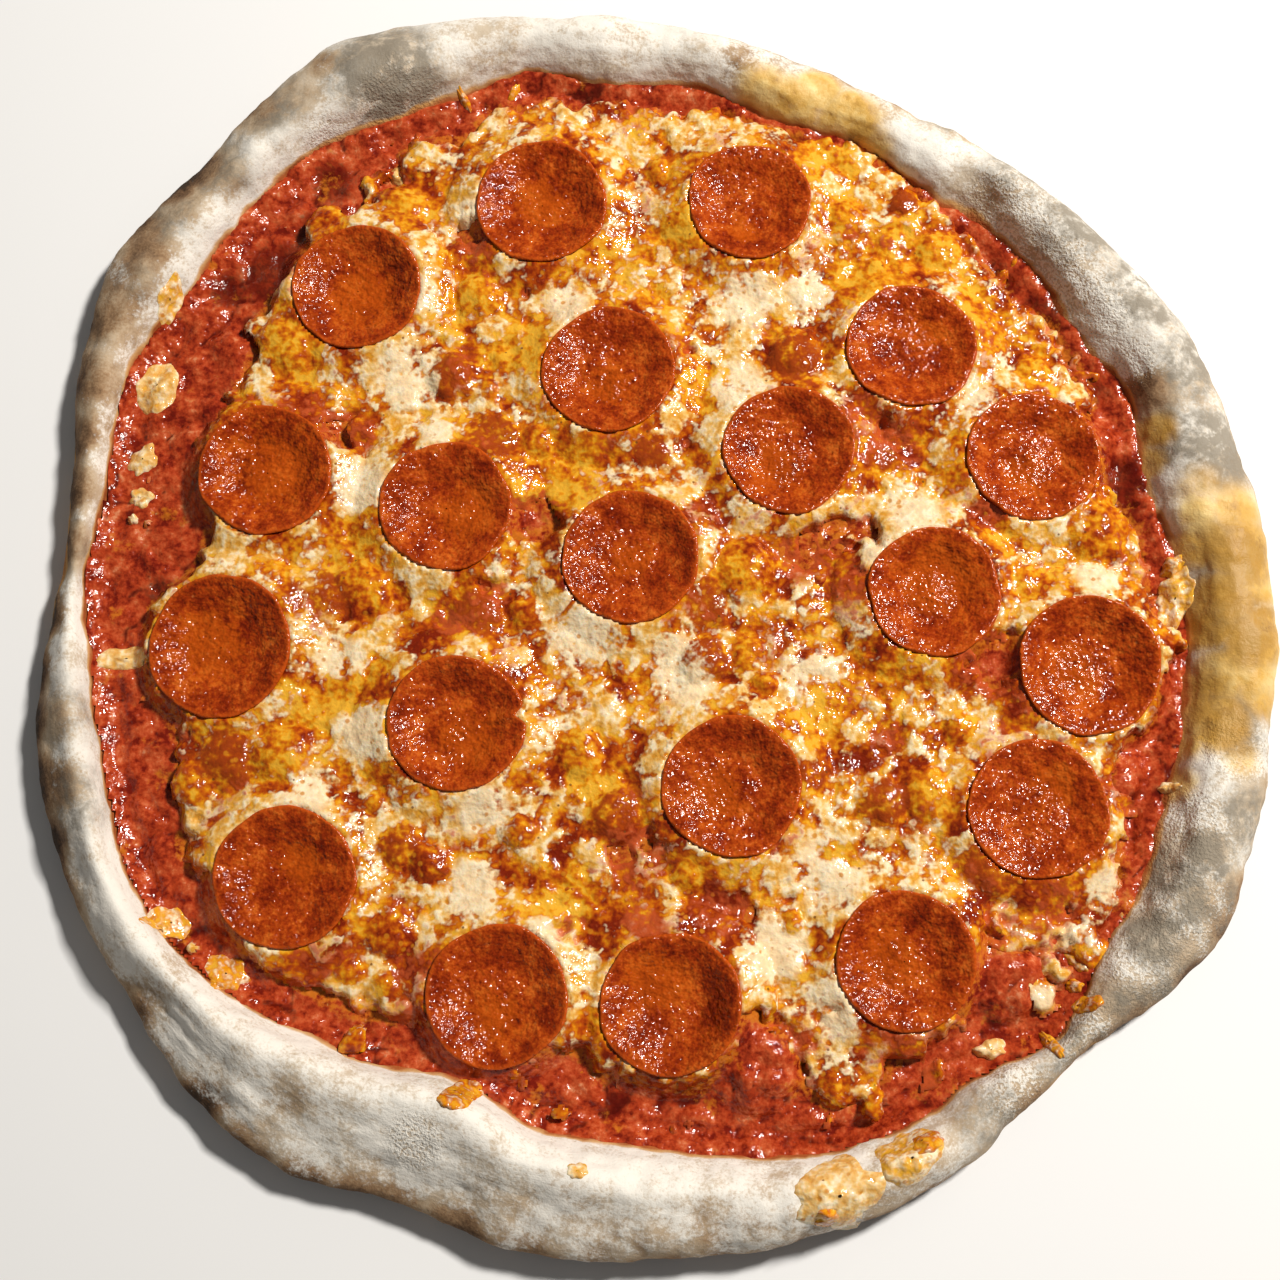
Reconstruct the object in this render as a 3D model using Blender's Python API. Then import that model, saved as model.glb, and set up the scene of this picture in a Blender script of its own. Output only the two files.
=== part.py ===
"""Pepperoni pizza: a whole, uncut, hand-stretched pizza about 330 mm across.

Metres, +Z up. The origin is on the surface that the pizza rests on, under the middle of its box.
+X is the pizza's right and +Y its far side, seen by someone who stands in front of it.

The pizza is a stack of separate solids:
  crust          the bread base with its puffed, uneven rim and the toasted cheese that ran onto it
  sauce          the tomato layer inside the rim, with its red bubbles
  cheese         the melted cheese sheet, with its blisters and the gaps where sauce shows
  pepperoni_01.. twenty slices, each with its own size, lean and curled edge

Tables hold real sizes in millimetres and angles in degrees, counted from +X towards +Y.
"""

import math

import bmesh
import bpy
import numpy as np
from mathutils import Matrix, Vector

MM = 0.001

# Heights of the layers above the resting surface, mm.
BASE_TOP = 3.5
LAYER_GAP = 0.3
SAUCE_TOP = 5.2
CHEESE_TOP = 8.4
PEPPERONI_SEAT = 7.0
PEPPERONI_THICKNESS = 1.9

# Relief of the layers, mm: how deep it is, and how far apart its lumps are.
RIM_RELIEF, RIM_LUMPS = 0.8, 31
SAUCE_RELIEF, SAUCE_LUMPS = 0.9, 17
CHEESE_RELIEF, CHEESE_LUMPS = 0.9, 23
CHEESE_FINE_RELIEF, CHEESE_FINE_LUMPS = 0.5, 14

SAUCE_EDGE_GAP = 1.0

# The cheese's lattice, and how the sheet thins towards its edge, mm.
CHEESE_REACH = 154
CHEESE_PITCH = 7.0
CHEESE_EDGE_THINNING = 1.3
CHEESE_EDGE_WIDTH = 9

# Distance beyond a slice's edge where the cheese starts to rise round it, and where it is level, mm.
BANK_START, BANK_END = -3.0, 4.0

RIM_SEGMENTS = 132
LAYER_SEGMENTS = 84
SLICE_SEGMENTS = 16
BUBBLE_SEGMENTS = 14
GAP_SEGMENTS = 12

# Edges that turn more than this stay sharp, degrees.
SHARP_ANGLE = 50

# How far cutters reach below and above the underside of what they cut, mm.
CUTTER_BELOW, CUTTER_ABOVE = 2, 12

# Azimuth, outer radius, width of the rim, height of the rim, crest's share of the width from outside.
RIM_STATIONS = (
    (0, 165.5, 25, 17, 0.50),
    (12, 165, 29, 16, 0.52),
    (24, 165, 25, 17, 0.50),
    (34, 163, 26, 18, 0.40),
    (45, 161, 21, 17, 0.40),
    (56, 160, 22, 15, 0.45),
    (65, 160, 18, 14, 0.50),
    (76, 164, 22, 14, 0.50),
    (86, 168, 19, 15, 0.50),
    (94, 172, 23, 16, 0.45),
    (103, 175, 18, 16, 0.45),
    (112, 181, 25, 17, 0.50),
    (120, 187, 29, 19, 0.50),
    (129, 183.5, 22, 17, 0.60),
    (137, 180, 21, 16, 0.60),
    (147, 181, 25, 17, 0.60),
    (155, 175, 17, 15, 0.60),
    (163, 168, 13, 14, 0.60),
    (172, 161.5, 9, 12, 0.60),
    (180, 162, 9, 13, 0.60),
    (189, 167.5, 16, 16, 0.68),
    (200, 171, 17, 18, 0.70),
    (212, 172.5, 15, 18, 0.70),
    (222, 174, 20, 19, 0.70),
    (231, 179.5, 32, 21, 0.75),
    (240, 177.5, 34, 22, 0.80),
    (248, 171.5, 34, 22, 0.80),
    (257, 173, 31, 22, 0.70),
    (267, 172, 29, 21, 0.60),
    (277, 171, 25, 19, 0.60),
    (286, 169, 18, 17, 0.55),
    (295, 169, 18, 16, 0.50),
    (303, 164.5, 15, 14, 0.50),
    (311, 162, 8, 12, 0.50),
    (319, 167, 18, 15, 0.50),
    (328, 172, 26, 18, 0.50),
    (338, 169, 26, 18, 0.50),
    (349, 166, 25, 17, 0.50),
)

# The rim's section: share of the rim's width in from its outer edge, and share of its height. The
# underside stays as it is; the skin is stretched so that its top lies at the station's crest. A crest
# far from the outer edge has a straight slope below it.
RIM_UNDERSIDE = (
    (0.30, 0.02),
    (0.10, 0.12),
)
RIM_SKIN = (
    (0.0, 0.36),
    (0.03, 0.58),
    (0.12, 0.79),
    (0.27, 0.94),
    (0.46, 1.0),
    (0.65, 0.93),
    (0.82, 0.70),
    (0.94, 0.42),
)
SKIN_CREST = 0.46
EDGE_SHARE = 0.36
ROUND_CREST = 0.50
STRAIGHT_CREST = 0.78

# The underside is flat out to this share of the rim's width plus a few mm, with one more ring inside.
FOOT_INSET_SHARE = 0.45
FOOT_INSET = 3
FOOT_RING_INSET = 34

# Shares of the rim's height between which its features and its stuck cheese grow to full height.
FEATURE_SHARES = (0.35, 0.75)
STUCK_CHEESE_SHARES = (0.30, 0.60)

# Folds and dents of the rim: x, y, radius, height (negative for a dent).
RIM_FEATURES = (
    (-95, 145, 7, -3.0),
    (-75, 148, 15, 2.5),
    (-142, 103, 7, -2.0),
    (88, 112, 9, -3.5),
    (97, 116, 8, 3.0),
    (103, 97, 10, 1.5),
    (130, 77, 8, -2.5),
    (137, 69, 8, 1.5),
    (132, 38, 9, -2.5),
    (148, -31, 9, -3.0),
    (128, -70, 9, -2.0),
    (140, -82, 8, -1.2),
    (126, -92, 8, -1.2),
    (82, -128, 11, 3.0),
    (68, -138, 9, -3.5),
    (57, -150, 8, 2.0),
    (48, -155, 6, -1.0),
    (-14, -161, 8, -1.5),
    (2, -162, 6, -1.0),
    (-2, -156, 6, 1.0),
    (-74, -152, 16, -2.5),
    (-49, -158, 12, -2.5),
    (-92, -132, 9, -2.5),
    (-104, -130, 9, 1.5),
    (-115, -133, 8, -2.0),
    (-128, -106, 9, -2.0),
    (-158, 8, 7, -2.0),
    (20, 156, 12, 1.5),
    (66, 123, 9, 1.5),
)

# Azimuth and radius of the edge of the cheese.
CHEESE_EDGE = (
    (0, 133),
    (8, 127),
    (15, 124),
    (24, 132),
    (33, 133),
    (44, 133),
    (54, 136),
    (66, 140),
    (80, 140),
    (95, 142),
    (110, 149),
    (120, 142),
    (131, 138),
    (143, 133),
    (152, 127),
    (165, 129),
    (175, 122),
    (183, 133),
    (190, 137),
    (197, 133),
    (206, 138),
    (214, 141),
    (222, 142),
    (231, 135),
    (241, 127),
    (251, 131),
    (260, 120),
    (269, 127),
    (279, 131),
    (286, 142),
    (295, 137),
    (303, 138),
    (312, 131),
    (322, 136),
    (334, 137),
    (346, 132),
    (353, 136),
)

# Slices: x, y, diameter, curl of the edge, azimuth of the side that curls most, extra curl there.
PEPPERONI = (
    (-32, 112, 36.0, 3.3, 60, 0.8),
    (26, 112, 34.6, 3.1, 200, 0.6),
    (-83, 86, 35.8, 3.1, 35, 2.6),
    (-13, 62, 36.2, 2.9, 300, 0.8),
    (70, 69, 35.8, 3.1, 250, 0.9),
    (36, 39, 35.8, 3.2, 20, 0.8),
    (102, 37, 36.2, 2.9, 160, 0.9),
    (-106, 33, 36.2, 3.5, 180, 0.8),
    (-57, 23, 35.6, 3.3, 100, 0.9),
    (-7, 9, 36.6, 3.1, 350, 1.2),
    (74, -1, 35.2, 3.4, 90, 0.8),
    (-116, -16, 38.2, 2.7, 40, 2.4),
    (114, -21, 37.4, 3.5, 50, 1.8),
    (-53, -37, 36.4, 3.3, 130, 1.0),
    (19, -53, 36.8, 3.1, 70, 0.9),
    (99, -59, 36.8, 2.7, 330, 1.0),
    (-96, -77, 36.8, 2.7, 100, 1.2),
    (63, -98, 35.8, 3.1, 20, 1.0),
    (-41, -107, 36.4, 2.9, 10, 1.4),
    (3, -109, 36.2, 3.1, 350, 3.2),
)

# A slice's section, as share of its radius and share of its thickness, and where it bends upwards.
SLICE_SECTION = (
    (0.62, 0.0),
    (0.96, 0.0),
    (1.0, 0.45),
    (0.95, 1.0),
    (0.62, 1.0),
)
BEND_START, BEND_END = 0.25, 1.05

# Toasted blisters of the cheese: x, y, radius, height.
CHEESE_BLISTERS = (
    (-56, 62, 7, 2.6),
    (-103, 71, 9, 3.2),
    (-91, 107, 7, 2.2),
    (-69, 109, 7, 2.4),
    (-48, 88, 7, 2.2),
    (38, 66, 9, 3.4),
    (-86, 1, 11, 3.2),
    (22, 7, 11, 4.4),
    (15, -13, 8, 3.0),
    (30, -25, 6, 2.4),
    (0, 40, 7, 2.4),
    (-42, 41, 8, 2.4),
    (-41, -4, 6, 2.2),
    (-107, -42, 13, 4.2),
    (-126, -52, 8, 2.4),
    (-64, -70, 9, 2.8),
    (-28, -63, 7, 2.6),
    (-3, -70, 8, 2.6),
    (64, -57, 11, 3.8),
    (119, 18, 10, 3.6),
    (98, 2, 7, 2.4),
    (53, 104, 7, 2.4),
    (77, 96, 8, 2.0),
    (104, 62, 7, 2.0),
    (-52, -78, 7, 2.0),
    (8, -80, 8, 2.2),
    (38, -92, 5, 1.8),
    (-74, -90, 8, 2.0),
)

# Gaps in the cheese where the sauce shows: x, y, half length, half width, azimuth of the length.
CHEESE_GAPS = (
    (-51, 103, 5, 8, 80),
    (90, -19, 9, 7, 40),
    (-8, -71, 8, 4.5, 20),
    (-35, 19, 7, 4.5, 110),
    (-46, 2, 5, 4, 0),
    (13, 3, 3.5, 6, 10),
    (44, 14, 6, 5, 60),
    (56, 16, 3, 5, 0),
    (88, -81, 9, 5.5, 160),
    (33, -80, 6, 4, 30),
    (22, -88, 5, 3.5, 150),
    (-88, 44, 5, 3.5, 60),
    (62, 42, 4, 6, 15),
    (86, 19, 4, 4, 0),
    (-24, -90, 5, 4, 90),
)

# Rings of the sauce's top, as shares of its radius.
SAUCE_RINGS = (0.996, 0.975, 0.95, 0.915, 0.87, 0.82, 0.76, 0.66, 0.50, 0.30)

# Rings of a bubble's dome, as shares of its radius, and the room that the cheese leaves round it.
BUBBLE_RINGS = (0.97, 0.82, 0.55)
BUBBLE_ROOM = 1.3

# Bubbles in the dough that lie under bare sauce: x, y, radius, height.
SAUCE_BUBBLES = (
    (90, -104, 9, 4.5),
    (27, -127, 10.5, 5.0),
    (124, -51, 8, 3.4),
    (125, 44, 6, 3.4),
)

# Melted and toasted cheese on the rim: x, y, half length, half width, azimuth of the length, height.
RIM_CHEESE = (
    (-138, 58, 7, 5, 90, 3.0),
    (-141, 37, 5, 4, 60, 2.5),
    (-140, 27, 3.5, 3.0, 0, 2.0),
    (-141, -19, 8, 3.5, 5, 2.5),
    (-127, 93, 6, 2.5, 70, 2.5),
    (-127, -90, 5, 4, 150, 2.5),
    (-112, -103, 5, 4, 150, 2.5),
    (-48, -133, 5, 3.5, 20, 2.5),
    (46, -160, 13, 9, 170, 3.5),
    (63, -147, 9, 6, 20, 3.5),
    (90, -123, 5, 3.5, 20, 3.0),
    (106, -119, 4, 3, 120, 2.5),
    (111, -99, 4, 3, 110, 2.5),
    (140, 0, 7, 4.5, 80, 3.0),
    (93, 78, 4, 4, 0, 2.5),
    (-48, 146, 3.5, 2, 120, 2.0),
)

CRUST_COLOUR = (0.62, 0.50, 0.36)
SAUCE_COLOUR = (0.38, 0.035, 0.015)
CHEESE_COLOUR = (0.80, 0.58, 0.27)
PEPPERONI_COLOUR = (0.42, 0.055, 0.018)


def clear_scene():
    """Remove whatever the scene holds."""
    for obj in list(bpy.data.objects):
        bpy.data.objects.remove(obj, do_unlink=True)


def material(name, colour, roughness):
    """A Principled material without metal."""
    mat = bpy.data.materials.new(name)
    mat.use_nodes = True
    shader = mat.node_tree.nodes["Principled BSDF"]
    shader.inputs["Base Color"].default_value = (*colour, 1.0)
    shader.inputs["Roughness"].default_value = roughness
    shader.inputs["Metallic"].default_value = 0.0
    return mat


def smooth_step(edge_low, edge_high, value):
    """0 below the low edge, 1 above the high edge, with a smooth rise between."""
    t = min(max((value - edge_low) / (edge_high - edge_low), 0.0), 1.0)
    return t * t * (3 - 2 * t)


def round_the_clock(stations, azimuth):
    """The stations' values at an azimuth, on a closed Catmull-Rom curve through all of them."""
    azimuth %= 360
    rows = np.array(stations, dtype=float)
    count = len(rows)
    after = int(np.searchsorted(rows[:, 0], azimuth, side="right")) % count
    picks = [(after + step) % count for step in (-2, -1, 0, 1)]
    span = (rows[picks[2], 0] - rows[picks[1], 0]) % 360
    t = ((azimuth - rows[picks[1], 0]) % 360) / span
    p0, p1, p2, p3 = (rows[pick, 1:] for pick in picks)
    linear = (p2 - p0) * t
    square = (2 * p0 - 5 * p1 + 4 * p2 - p3) * t * t
    cubic = (3 * p1 - p0 - 3 * p2 + p3) * t * t * t
    return 0.5 * (2 * p1 + linear + square + cubic)


def waves(x, y, length, phase):
    """Smooth unevenness between -1 and 1, with lumps about the given length apart, mm."""
    u, v = x * math.tau / length, y * math.tau / length
    first = math.sin(u + 1.3 * math.sin(0.7 * v + phase))
    second = math.sin(0.8 * v - 0.6 * u + 1.1 * math.sin(0.9 * u + 2 * phase))
    third = math.sin(1.3 * v + 0.9 * u + 3 * phase)
    return (first + second + third) / 3


def hump(x, y, centre_x, centre_y, radius):
    """A round hump: 1 at its centre, 0 from its radius outwards."""
    share = math.hypot(x - centre_x, y - centre_y) / radius
    return (1 - min(share, 1.0) ** 2) ** 1.5


def long_hump(x, y, centre_x, centre_y, half_length, half_width, azimuth):
    """A hump with an oval outline, longer along its azimuth."""
    turn = math.radians(azimuth)
    dx, dy = x - centre_x, y - centre_y
    along = (dx * math.cos(turn) + dy * math.sin(turn)) / half_length
    across = (dy * math.cos(turn) - dx * math.sin(turn)) / half_width
    share = math.hypot(along, across)
    return (1 - min(share, 1.0) ** 2) ** 0.75


def sum_of_humps(x, y, humps):
    """Total height of the humps at a place."""
    return sum(row[3] * hump(x, y, row[0], row[1], row[2]) for row in humps)


def polar(radius, azimuth):
    """x and y of a place given by radius and azimuth."""
    turn = math.radians(azimuth)
    return radius * math.cos(turn), radius * math.sin(turn)


def azimuths(count):
    """Evenly spaced azimuths, in degrees."""
    return [360 * step / count for step in range(count)]


def add_ring(mesh, points):
    """A ring of vertices from points in mm."""
    return [mesh.verts.new(Vector(point) * MM) for point in points]


def join_rings(mesh, lower, upper):
    """Quads between two rings that run anticlockwise seen from outside their upper end."""
    count = len(lower)
    for step in range(count):
        following = (step + 1) % count
        mesh.faces.new((lower[step], lower[following], upper[following], upper[step]))


def close_with_fan(mesh, ring, centre, facing_up):
    """Triangles from a ring to a centre point in mm."""
    middle = mesh.verts.new(Vector(centre) * MM)
    count = len(ring)
    for step in range(count):
        following = (step + 1) % count
        if facing_up:
            mesh.faces.new((ring[step], ring[following], middle))
        else:
            mesh.faces.new((ring[following], ring[step], middle))


def shade_round(data):
    """Smooth shading that keeps real edges sharp."""
    data.shade_smooth()
    data.set_sharp_from_angle(angle=math.radians(SHARP_ANGLE))


def make_object(name, mesh, mat):
    """Turn a bmesh into a smooth-shaded object with the given material."""
    bmesh.ops.triangulate(mesh, faces=[face for face in mesh.faces if len(face.verts) > 3])
    data = bpy.data.meshes.new(name)
    mesh.to_mesh(data)
    mesh.free()
    data.materials.append(mat)
    shade_round(data)
    obj = bpy.data.objects.new(name, data)
    bpy.context.collection.objects.link(obj)
    return obj


def rim_height(x, y, share, high):
    """Height of the rim's skin: its section, plus folds, dents and the cheese stuck to it."""
    features = sum_of_humps(x, y, RIM_FEATURES) + RIM_RELIEF * waves(x, y, RIM_LUMPS, 0.4)
    stuck = sum(row[5] * long_hump(x, y, *row[:5]) for row in RIM_CHEESE)
    on_top = smooth_step(*FEATURE_SHARES, share)
    return high * share + on_top * features + smooth_step(*STUCK_CHEESE_SHARES, share) * stuck


def skin_point(inset, share, crest):
    """A point of the skin's section, stretched to the crest. A long outer side is straight."""
    if inset > SKIN_CREST:
        return crest + (inset - SKIN_CREST) * (1 - crest) / (1 - SKIN_CREST), share
    way = inset / SKIN_CREST
    slope = EDGE_SHARE + (1 - EDGE_SHARE) * way
    return crest * way, share + (slope - share) * smooth_step(ROUND_CREST, STRAIGHT_CREST, crest)


def make_crust(mat):
    """The bread: a flat base whose rim rises all round in one continuous skin."""
    mesh = bmesh.new()
    around = azimuths(RIM_SEGMENTS)
    stations = [round_the_clock(RIM_STATIONS, azimuth) for azimuth in around]

    def flat_ring(inset_of, height):
        """A level ring whose inset from the outer edge follows from the rim's width."""
        points = []
        for azimuth, (outer, width, _, _) in zip(around, stations):
            points.append((*polar(outer - inset_of(width), azimuth), height))
        return add_ring(mesh, points)

    def rim_ring(inset, share, stretched):
        """A ring of the rim's section, which the skin stretches to the crest."""
        points = []
        for azimuth, (outer, width, high, crest) in zip(around, stations):
            place = skin_point(inset, share, crest) if stretched else (inset, share)
            x, y = polar(outer - place[0] * width, azimuth)
            points.append((x, y, rim_height(x, y, place[1], high)))
        return add_ring(mesh, points)

    under = flat_ring(lambda width: FOOT_RING_INSET, 0.0)
    close_with_fan(mesh, under, (0, 0, 0), facing_up=False)
    rings = [under, flat_ring(lambda width: FOOT_INSET_SHARE * width + FOOT_INSET, 0.0)]
    rings += [rim_ring(inset, share, False) for inset, share in RIM_UNDERSIDE]
    rings += [rim_ring(inset, share, True) for inset, share in RIM_SKIN]
    rings.append(flat_ring(lambda width: width, BASE_TOP))
    for lower, upper in zip(rings, rings[1:]):
        join_rings(mesh, lower, upper)
    close_with_fan(mesh, rings[-1], (0, 0, BASE_TOP), facing_up=True)
    return make_object("crust", mesh, mat)


def inner_radius(azimuth):
    """Radius of the foot of the rim's inner side."""
    outer, width, _, _ = round_the_clock(RIM_STATIONS, azimuth)
    return outer - width


def make_helper(name, mesh):
    """An object that shapes another one and is left out of the model."""
    data = bpy.data.meshes.new(name)
    mesh.to_mesh(data)
    mesh.free()
    helper = bpy.data.objects.new(name, data)
    helper.hide_render = True
    helper.display_type = "WIRE"
    bpy.context.collection.objects.link(helper)
    return helper


def combine(obj, helper, operation):
    """Cut an object with a helper or fuse the helper to it, then remove the helper."""
    modifier = obj.modifiers.new(helper.name, "BOOLEAN")
    modifier.operation = operation
    modifier.object = helper
    graph = bpy.context.evaluated_depsgraph_get()
    data = bpy.data.meshes.new_from_object(obj.evaluated_get(graph))
    obj.modifiers.clear()
    obj.data = data
    bpy.data.objects.remove(helper, do_unlink=True)


def make_dome(name, row):
    """A closed low dome whose foot is sunk in the sauce."""
    centre_x, centre_y, radius, high = row
    mesh = bmesh.new()
    foot = BASE_TOP + 2 * LAYER_GAP
    low = SAUCE_TOP - SAUCE_RELIEF

    def ring(share, height):
        points = []
        for azimuth in azimuths(BUBBLE_SEGMENTS):
            x, y = polar(radius * share, azimuth)
            points.append((centre_x + x, centre_y + y, height))
        return add_ring(mesh, points)

    last = ring(1.0, foot)
    mesh.faces.new(tuple(reversed(last)))
    for share in BUBBLE_RINGS:
        rising = ring(share, low + high * hump(share, 0, 0, 0, 1.0) ** 0.5)
        join_rings(mesh, last, rising)
        last = rising
    close_with_fan(mesh, last, (centre_x, centre_y, low + high), facing_up=True)
    return make_helper(name, mesh)


def sauce_height(x, y):
    """Top of the sauce, which sinks in soft hollows."""
    return SAUCE_TOP - SAUCE_RELIEF * (0.5 + 0.5 * waves(x, y, SAUCE_LUMPS, 1.1))


def make_sauce(mat):
    """The tomato layer: flat below, uneven above, out to the foot of the rim."""
    mesh = bmesh.new()
    around = azimuths(LAYER_SEGMENTS)
    edge = [inner_radius(azimuth) - SAUCE_EDGE_GAP for azimuth in around]
    below = []
    for azimuth, radius in zip(around, edge):
        x, y = polar(radius, azimuth)
        below.append((x, y, BASE_TOP + LAYER_GAP))
    last = add_ring(mesh, below)
    close_with_fan(mesh, last, (0, 0, BASE_TOP + LAYER_GAP), facing_up=False)
    for share in SAUCE_RINGS:
        points = []
        for azimuth, radius in zip(around, edge):
            x, y = polar(radius * share, azimuth)
            points.append((x, y, sauce_height(x, y)))
        inner = add_ring(mesh, points)
        join_rings(mesh, last, inner)
        last = inner
    close_with_fan(mesh, last, (0, 0, sauce_height(0, 0)), facing_up=True)
    sauce = make_object("sauce", mesh, mat)
    for row in SAUCE_BUBBLES:
        combine(sauce, make_dome("bubble_guide", row), "UNION")
    shade_round(sauce.data)
    return sauce


def clear_of_slices(x, y):
    """1 away from every slice, 0 where one lies."""
    clear = 1.0
    for row in PEPPERONI:
        distance = math.hypot(x - row[0], y - row[1]) - row[2] / 2
        clear = min(clear, smooth_step(BANK_START, BANK_END, distance))
    return clear


def cheese_height(x, y):
    """Top of the cheese: lumpy, blistered, thinner at its edge and level under the slices."""
    clear = clear_of_slices(x, y)
    azimuth = math.degrees(math.atan2(y, x))
    inside = round_the_clock(CHEESE_EDGE, azimuth)[0] - math.hypot(x, y)
    relief = CHEESE_RELIEF * waves(x, y, CHEESE_LUMPS, 2.3)
    relief += CHEESE_FINE_RELIEF * waves(x, y, CHEESE_FINE_LUMPS, 0.7)
    relief += sum_of_humps(x, y, CHEESE_BLISTERS)
    relief -= CHEESE_EDGE_THINNING * (1 - smooth_step(0, CHEESE_EDGE_WIDTH, inside))
    return PEPPERONI_SEAT + clear * (CHEESE_TOP - PEPPERONI_SEAT + relief)


def gap_outline(row):
    """Uneven oval outline of a gap in the cheese, mm."""
    centre_x, centre_y, half_length, half_width, azimuth = row
    turn = math.radians(azimuth)
    points = []
    for step in range(GAP_SEGMENTS):
        angle = math.tau * step / GAP_SEGMENTS
        uneven = 1 + 0.14 * math.sin(3 * angle + centre_x) + 0.10 * math.sin(5 * angle + centre_y)
        along = half_length * uneven * math.cos(angle)
        across = half_width * uneven * math.sin(angle)
        x = centre_x + along * math.cos(turn) - across * math.sin(turn)
        y = centre_y + along * math.sin(turn) + across * math.cos(turn)
        points.append((x, y))
    return points


def make_prism(name, outline, level):
    """An upright closed prism through a level, used as a cutter and left out of the model."""
    mesh = bmesh.new()
    bottom = add_ring(mesh, [(x, y, level - CUTTER_BELOW) for x, y in outline])
    top = add_ring(mesh, [(x, y, level + CUTTER_ABOVE) for x, y in outline])
    join_rings(mesh, bottom, top)
    mesh.faces.new(top)
    mesh.faces.new(tuple(reversed(bottom)))
    return make_helper(name, mesh)


def lattice(mesh, reach, pitch, height_of, low):
    """A closed square block whose top is a lattice of triangles at the given heights, mm."""
    count = int(2 * reach / pitch) + 1
    rows = []
    for j in range(count):
        shift = 0.25 * pitch if j % 2 else -0.25 * pitch
        points = []
        for i in range(count):
            x = -reach + i * pitch + (shift if 0 < i < count - 1 else 0.0)
            y = -reach + j * pitch
            points.append((x, y, height_of(x, y)))
        rows.append(add_ring(mesh, points))
    for j in range(count - 1):
        for i in range(count - 1):
            near, far = rows[j], rows[j + 1]
            if j % 2:
                mesh.faces.new((near[i], near[i + 1], far[i]))
                mesh.faces.new((near[i + 1], far[i + 1], far[i]))
            else:
                mesh.faces.new((near[i], near[i + 1], far[i + 1]))
                mesh.faces.new((near[i], far[i + 1], far[i]))
    right_side = [row[-1] for row in rows[1:]]
    left_side = [row[0] for row in rows[-2:0:-1]]
    border = rows[0] + right_side + rows[-1][-2::-1] + left_side
    below = [mesh.verts.new((vert.co.x, vert.co.y, low * MM)) for vert in border]
    join_rings(mesh, below, border)
    mesh.faces.new(tuple(reversed(below)))


def make_cheese(mat):
    """The melted cheese sheet, cut to its outline and through where the sauce shows."""
    mesh = bmesh.new()
    low = SAUCE_TOP + LAYER_GAP
    lattice(mesh, CHEESE_REACH, CHEESE_PITCH, cheese_height, low)
    cheese = make_object("cheese", mesh, mat)
    around = azimuths(LAYER_SEGMENTS)
    outline = [polar(float(round_the_clock(CHEESE_EDGE, azimuth)[0]), azimuth) for azimuth in around]
    combine(cheese, make_prism("outline_guide", outline, low), "INTERSECT")
    rooms = [(x, y, BUBBLE_ROOM * radius, BUBBLE_ROOM * radius, 0) for x, y, radius, _ in SAUCE_BUBBLES]
    for row in (*CHEESE_GAPS, *rooms):
        combine(cheese, make_prism("gap_cutter", gap_outline(row), low), "DIFFERENCE")
    shade_round(cheese.data)
    return cheese


def curl(share, angle, row):
    """How far a slice's underside is lifted at a share of its radius."""
    _, _, _, edge_curl, lean, extra = row
    towards = max(0.0, math.cos(angle - math.radians(lean)))
    wobble = 0.35 * math.sin(3 * angle + row[0]) + 0.25 * math.sin(5 * angle + row[1])
    rise = edge_curl + extra * towards**2 + wobble
    return rise * smooth_step(BEND_START, BEND_END, share)


def make_slice(number, row, mat):
    """One slice: a thin disc whose edge curls up, lying on the cheese."""
    mesh = bmesh.new()
    radius = row[2] / 2
    angles = [math.tau * step / SLICE_SEGMENTS for step in range(SLICE_SEGMENTS)]

    def ring(share, lift):
        points = []
        for angle in angles:
            uneven = 1 + 0.012 * math.sin(2 * angle + row[1]) + 0.01 * math.sin(3 * angle + row[0])
            reach = radius * share * uneven
            height = lift + curl(share, angle, row)
            points.append((reach * math.cos(angle), reach * math.sin(angle), height))
        return add_ring(mesh, points)

    rings = [ring(share, lift * PEPPERONI_THICKNESS) for share, lift in SLICE_SECTION]
    close_with_fan(mesh, rings[0], (0, 0, 0), facing_up=False)
    for lower, upper in zip(rings, rings[1:]):
        join_rings(mesh, lower, upper)
    close_with_fan(mesh, rings[-1], (0, 0, PEPPERONI_THICKNESS), facing_up=True)
    piece = make_object(f"pepperoni_{number:02d}", mesh, mat)
    seat = Vector((row[0], row[1], PEPPERONI_SEAT + LAYER_GAP)) * MM
    piece.matrix_world = Matrix.Translation(seat)
    return piece


def main():
    clear_scene()
    make_crust(material("baked_crust", CRUST_COLOUR, 0.85))
    make_sauce(material("tomato_sauce", SAUCE_COLOUR, 0.35))
    make_cheese(material("melted_cheese", CHEESE_COLOUR, 0.4))
    cured_meat = material("pepperoni", PEPPERONI_COLOUR, 0.35)
    for number, row in enumerate(PEPPERONI, start=1):
        make_slice(number, row, cured_meat)


main()
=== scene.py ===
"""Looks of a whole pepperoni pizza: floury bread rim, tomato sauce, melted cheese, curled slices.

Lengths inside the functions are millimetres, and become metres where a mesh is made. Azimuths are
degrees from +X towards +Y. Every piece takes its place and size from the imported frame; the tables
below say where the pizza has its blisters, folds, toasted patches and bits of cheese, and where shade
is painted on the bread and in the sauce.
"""

import itertools
import math

import bpy
import numpy as np
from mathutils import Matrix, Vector
from mathutils.bvhtree import BVHTree

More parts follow.
